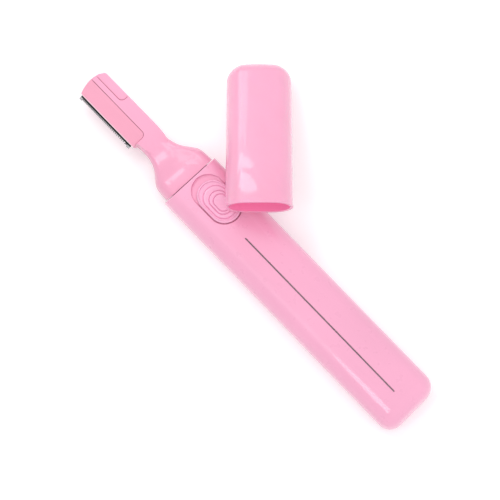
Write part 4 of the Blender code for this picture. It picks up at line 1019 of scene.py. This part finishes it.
def comb(name, start, length, level, tooth_cut, hook):
    """A comb pressed from sheet steel: slices at each tooth, and the teeth drawn out between them."""
    end = start + length
    piece = block(name, (start, BLADE_LAND, level), (end, BLADE_BACK, level + BLADE_THICKNESS))
    first, last = start + BLADE_END, end - BLADE_END
    count = int((last - first) / TOOTH_PITCH)
    pitch = (last - first) / count
    spans = [(start, first, hook)]
    for i in range(count - 1):
        spans.append((first + (i + TOOTH_GAP_SHARE) * pitch, first + (i + 1) * pitch, 0))
    spans.append((last, end, hook))
    take(piece)
    bpy.ops.object.mode_set(mode="EDIT")
    for low, high, _ in spans:
        for place in (low, high):
            if start + NEAR < place < end - NEAR:
                bpy.ops.mesh.select_all(action="SELECT")
                bpy.ops.mesh.bisect(plane_co=(place, 0, 0), plane_no=(1, 0, 0))
    close()
    for low, high, extra in spans:
        reach = (0, -(TOOTH_LENGTH - tooth_cut + extra), 0)
        pick(piece, "FACE", lambda corners: all(
            near(p.y, BLADE_LAND) and low - NEAR < p.x < high + NEAR for p in corners
        ))
        bpy.ops.mesh.extrude_region_move(TRANSFORM_OT_translate={"value": reach})
        close()
    soften(piece, BLADE_EDGE, steps=1, degrees=60)
    return piece


def make_blades():
    start, end = ROOM_LOW_X + FIT, ROOM_HIGH_X - FIT
    comb_blade = comb("comb_blade", start, end - start, FIXED_Z, 0, END_HOOK)
    dress(comb_blade, ground_steel, "handle", "fixed_blade")
    start, end = start + CUTTER_INSET, end - CUTTER_INSET
    cutter = comb("cutting_blade", start, end - start, MOVING_Z, CUTTER_SHORTER, 0)
    dress(cutter, ground_steel, "blade", "moving_blade")


# Battery and the nodes that keep their own solids

CELL_RADIUS = 0.00515
CELL_CORNER = 0.0005
CELL_EDGE = 0.0001
CELL_STEPS = 72
NUB_RADIUS = 0.0019
NUB_LENGTH = 0.001
NUB_STEPS = 48
NUB_SINK = 0.0001
BASE_RADIUS = 0.0043
BASE_DEPTH = 0.0001


def make_cell():
    """The dry cell: sleeved can, a nub at one end and a sunk base at the other."""
    low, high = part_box("battery_cell")
    start, end = low[X] + NUB_LENGTH, high[X]
    centre = (0, MID_Z)
    piece = rod("battery", centre, CELL_RADIUS, start, end, X, CELL_STEPS)
    round_edges(piece, lambda e: all_at(e, X, end) or all_at(e, X, start), CELL_CORNER, EDGE_STEPS)
    nub = rod("nub", centre, NUB_RADIUS, low[X], start + NUB_SINK, X, NUB_STEPS)
    combine(piece, nub, how="UNION")
    base = rod("base", centre, BASE_RADIUS, end - BASE_DEPTH, end + SHORT_OVERRUN, X, NUB_STEPS)
    combine(piece, base)
    soften(piece, CELL_EDGE, steps=2)
    dress(piece, cell_sleeve, "handle", "battery_cell")


FINISHES = {
    "case_screw_1": plain_steel,
    "case_screw_2": plain_steel,
    "chassis": white_plastic,
    "lever_pivot_pin": drawn_steel,
    "drive_lever": white_plastic,
    "drive_rod": drawn_steel,
    "blade_carrier": white_plastic,
    "eccentric_cam": white_plastic,
    "motor_rotor": drawn_steel,
    "motor_can": drawn_steel,
    "motor_bushing": stamped_brass,
    "motor_end_cap": dark_plastic,
    "negative_spring": nickel,
    "negative_contact": nickel,
    "negative_strip": stamped_brass,
    "positive_strip": stamped_brass,
    "switch_strip": stamped_brass,
    "switch_carriage": dark_plastic,
    "switch_contact": stamped_copper,
}


def dress_nodes():
    for name, material in FINISHES.items():
        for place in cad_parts[name].material_slots:
            place.material = material


# Studio

FLOOR_SIZE = 6
FLOOR_Z_GAP = 0.00005
FLOOR_WHITE = 0.93
FLOOR_ROUGHNESS = 0.9
FLOOR_SHINE = 0.1
FLOOR_LIFT = 0.22
BRIGHT_SIDE = (0.62, 0.12, 0.775)
DOME_DARK = 0.02
DOME_BRIGHT = 1.13


def background_rays(tree):
    """1 for a ray that shows the background: from the camera, off gloss or through glass."""
    path = tree.nodes.new("ShaderNodeLightPath")
    seen = path.outputs["Is Camera Ray"]
    for kind in ("Is Glossy Ray", "Is Transmission Ray"):
        node = tree.nodes.new("ShaderNodeMath")
        node.operation = "MAXIMUM"
        tree.links.new(seen, node.inputs[0])
        tree.links.new(path.outputs[kind], node.inputs[1])
        seen = node.outputs["Value"]
    return seen


def make_floor():
    """A pale matt floor, lifted a little where it is seen, so that it nears white and keeps the shadow."""
    deselect()
    bpy.ops.mesh.primitive_plane_add(size=FLOOR_SIZE, location=(0, 0, -FLOOR_Z_GAP))
    floor = settle("studio_floor")
    material, tree, shader = new_material("studio_white")
    shader.inputs["Base Color"].default_value = (FLOOR_WHITE, FLOOR_WHITE, FLOOR_WHITE, 1)
    shader.inputs["Roughness"].default_value = FLOOR_ROUGHNESS
    shader.inputs["Specular IOR Level"].default_value = FLOOR_SHINE
    lift = tree.nodes.new("ShaderNodeMath")
    lift.operation = "MULTIPLY"
    lift.inputs[1].default_value = FLOOR_LIFT
    tree.links.new(background_rays(tree), lift.inputs[0])
    shader.inputs["Emission Color"].default_value = (1, 1, 1, 1)
    tree.links.new(lift.outputs["Value"], shader.inputs["Emission Strength"])
    floor.data.materials.append(material)


def make_world():
    """A soft dome, brighter toward one side, so that round forms turn to shade. Seen itself, it is white."""
    world = bpy.data.worlds.new("studio_air")
    world.use_nodes = True
    bpy.context.scene.world = world
    tree = world.node_tree
    place = tree.nodes.new("ShaderNodeTexCoord")
    toward = tree.nodes.new("ShaderNodeVectorMath")
    toward.operation = "DOT_PRODUCT"
    toward.inputs[1].default_value = BRIGHT_SIDE
    level = tree.nodes.new("ShaderNodeMapRange")
    level.inputs["From Min"].default_value = -1
    level.inputs["From Max"].default_value = 1
    level.inputs["To Min"].default_value = DOME_DARK
    level.inputs["To Max"].default_value = DOME_BRIGHT
    seen = tree.nodes.new("ShaderNodeMix")
    seen.data_type = "FLOAT"
    seen.inputs["B"].default_value = 1
    tree.links.new(place.outputs["Generated"], toward.inputs[0])
    tree.links.new(toward.outputs["Value"], level.inputs["Value"])
    tree.links.new(level.outputs["Result"], seen.inputs["A"])
    tree.links.new(background_rays(tree), seen.inputs["Factor"])
    background = tree.nodes["Background"]
    background.inputs["Color"].default_value = (1, 1, 1, 1)
    tree.links.new(seen.outputs["Result"], background.inputs["Strength"])


# The lamps: where each is, where it faces, the direction of its width, its two sizes, and its brightness
KEY_SOFTBOX = {
    "place": (-0.36, -0.03, 0.6), "aim": (-0.036, 0, 0.01), "across": (0, 1, 0),
    "size": (0.32, 0.19), "radiance": 3.6,
}
CAP_ACROSS = (0.0703, 0.0985, 0.044)
CAP_WINDOW = {
    "place": (-0.1945, 0.086, 0.1124), "aim": (-0.0336, 0.0269, 0.0163), "across": CAP_ACROSS,
    "size": (0.11, 0.034), "radiance": 2.1,
}
EDGE_STRIP = {
    "place": (-0.0287, -0.351, 0.555), "aim": (0.0675, -0.0068, 0.0123), "across": (1, 0, 0),
    "size": (0.055, 0.34), "radiance": 5,
}
# The two small lamps close to the cap: name, aim, direction from there to the lamp, and its two sizes
GLINTS = (
    ("cap_glint", (-0.018, 0.0125, 0.0231), (-0.805, 0.295, 0.51), (0.046, 0.005)),
    ("cap_low_glint", (-0.0109, 0.008, 0.0263), (-0.735, 0.395, 0.545), (0.032, 0.0068)),
)
GLINT_DISTANCE = 0.06
GLINT_RADIANCE = 2.9


def softbox(name, place, aim, across, size, radiance, shape="RECTANGLE"):
    """A flat lamp at a place, facing aim, its width along across, as bright as radiance times white."""
    lamp = bpy.data.lights.new(name, "AREA")
    lamp.shape = shape
    lamp.size, lamp.size_y = size
    lamp.energy = radiance * math.pi * size[0] * size[1]
    holder = bpy.data.objects.new(name, lamp)
    back = (Vector(place) - Vector(aim)).normalized()
    side = (Vector(across) - back * back.dot(Vector(across))).normalized()
    holder.rotation_euler = Matrix((side, back.cross(side), back)).transposed().to_euler()
    holder.location = place
    bpy.context.scene.collection.objects.link(holder)


def make_lamps():
    """A key light, the cap's tall highlight and its two glints, and a strip along the handle's edge."""
    softbox("key_softbox", **KEY_SOFTBOX)
    softbox("cap_window", **CAP_WINDOW)
    for name, aim, toward, size in GLINTS:
        place = Vector(aim) + Vector(toward) * GLINT_DISTANCE
        softbox(name, place, aim, CAP_ACROSS, size, GLINT_RADIANCE, "ELLIPSE")
    softbox("edge_strip", **EDGE_STRIP, shape="ELLIPSE")


VIEW_AZIMUTH = math.radians(46.7)
VIEW_ELEVATION = math.radians(76)
VIEW_DISTANCE = 2.0
VIEW_AIM = (-0.00049, -0.00052, 0)
VIEW_PIXELS = 500
PIXELS_PER_METRE = 3200
SENSOR_WIDTH = 36
CLIP_START = 0.05
CLIP_END = 20


def make_camera():
    """A long lens at the photograph's angle, so far off that lengths keep one scale over the picture."""
    data = bpy.data.cameras.new("studio_camera")
    data.sensor_width = SENSOR_WIDTH
    data.lens = SENSOR_WIDTH * VIEW_DISTANCE * PIXELS_PER_METRE / VIEW_PIXELS
    data.clip_start = CLIP_START
    data.clip_end = CLIP_END
    camera = bpy.data.objects.new("studio_camera", data)
    flat = math.cos(VIEW_ELEVATION)
    toward = Vector((math.sin(VIEW_AZIMUTH) * flat, -math.cos(VIEW_AZIMUTH) * flat, math.sin(VIEW_ELEVATION)))
    camera.location = Vector(VIEW_AIM) + toward * VIEW_DISTANCE
    camera.rotation_euler = (-toward).to_track_quat("-Z", "Y").to_euler()
    bpy.context.scene.collection.objects.link(camera)
    bpy.context.scene.camera = camera


make_front()
make_back()
make_cover()
make_trim()
make_knob()
make_cap()
make_head()
make_plate()
make_blades()
make_cell()
dress_nodes()
make_floor()
make_world()
make_lamps()
make_camera()
bpy.context.scene.view_settings.view_transform = "Standard"
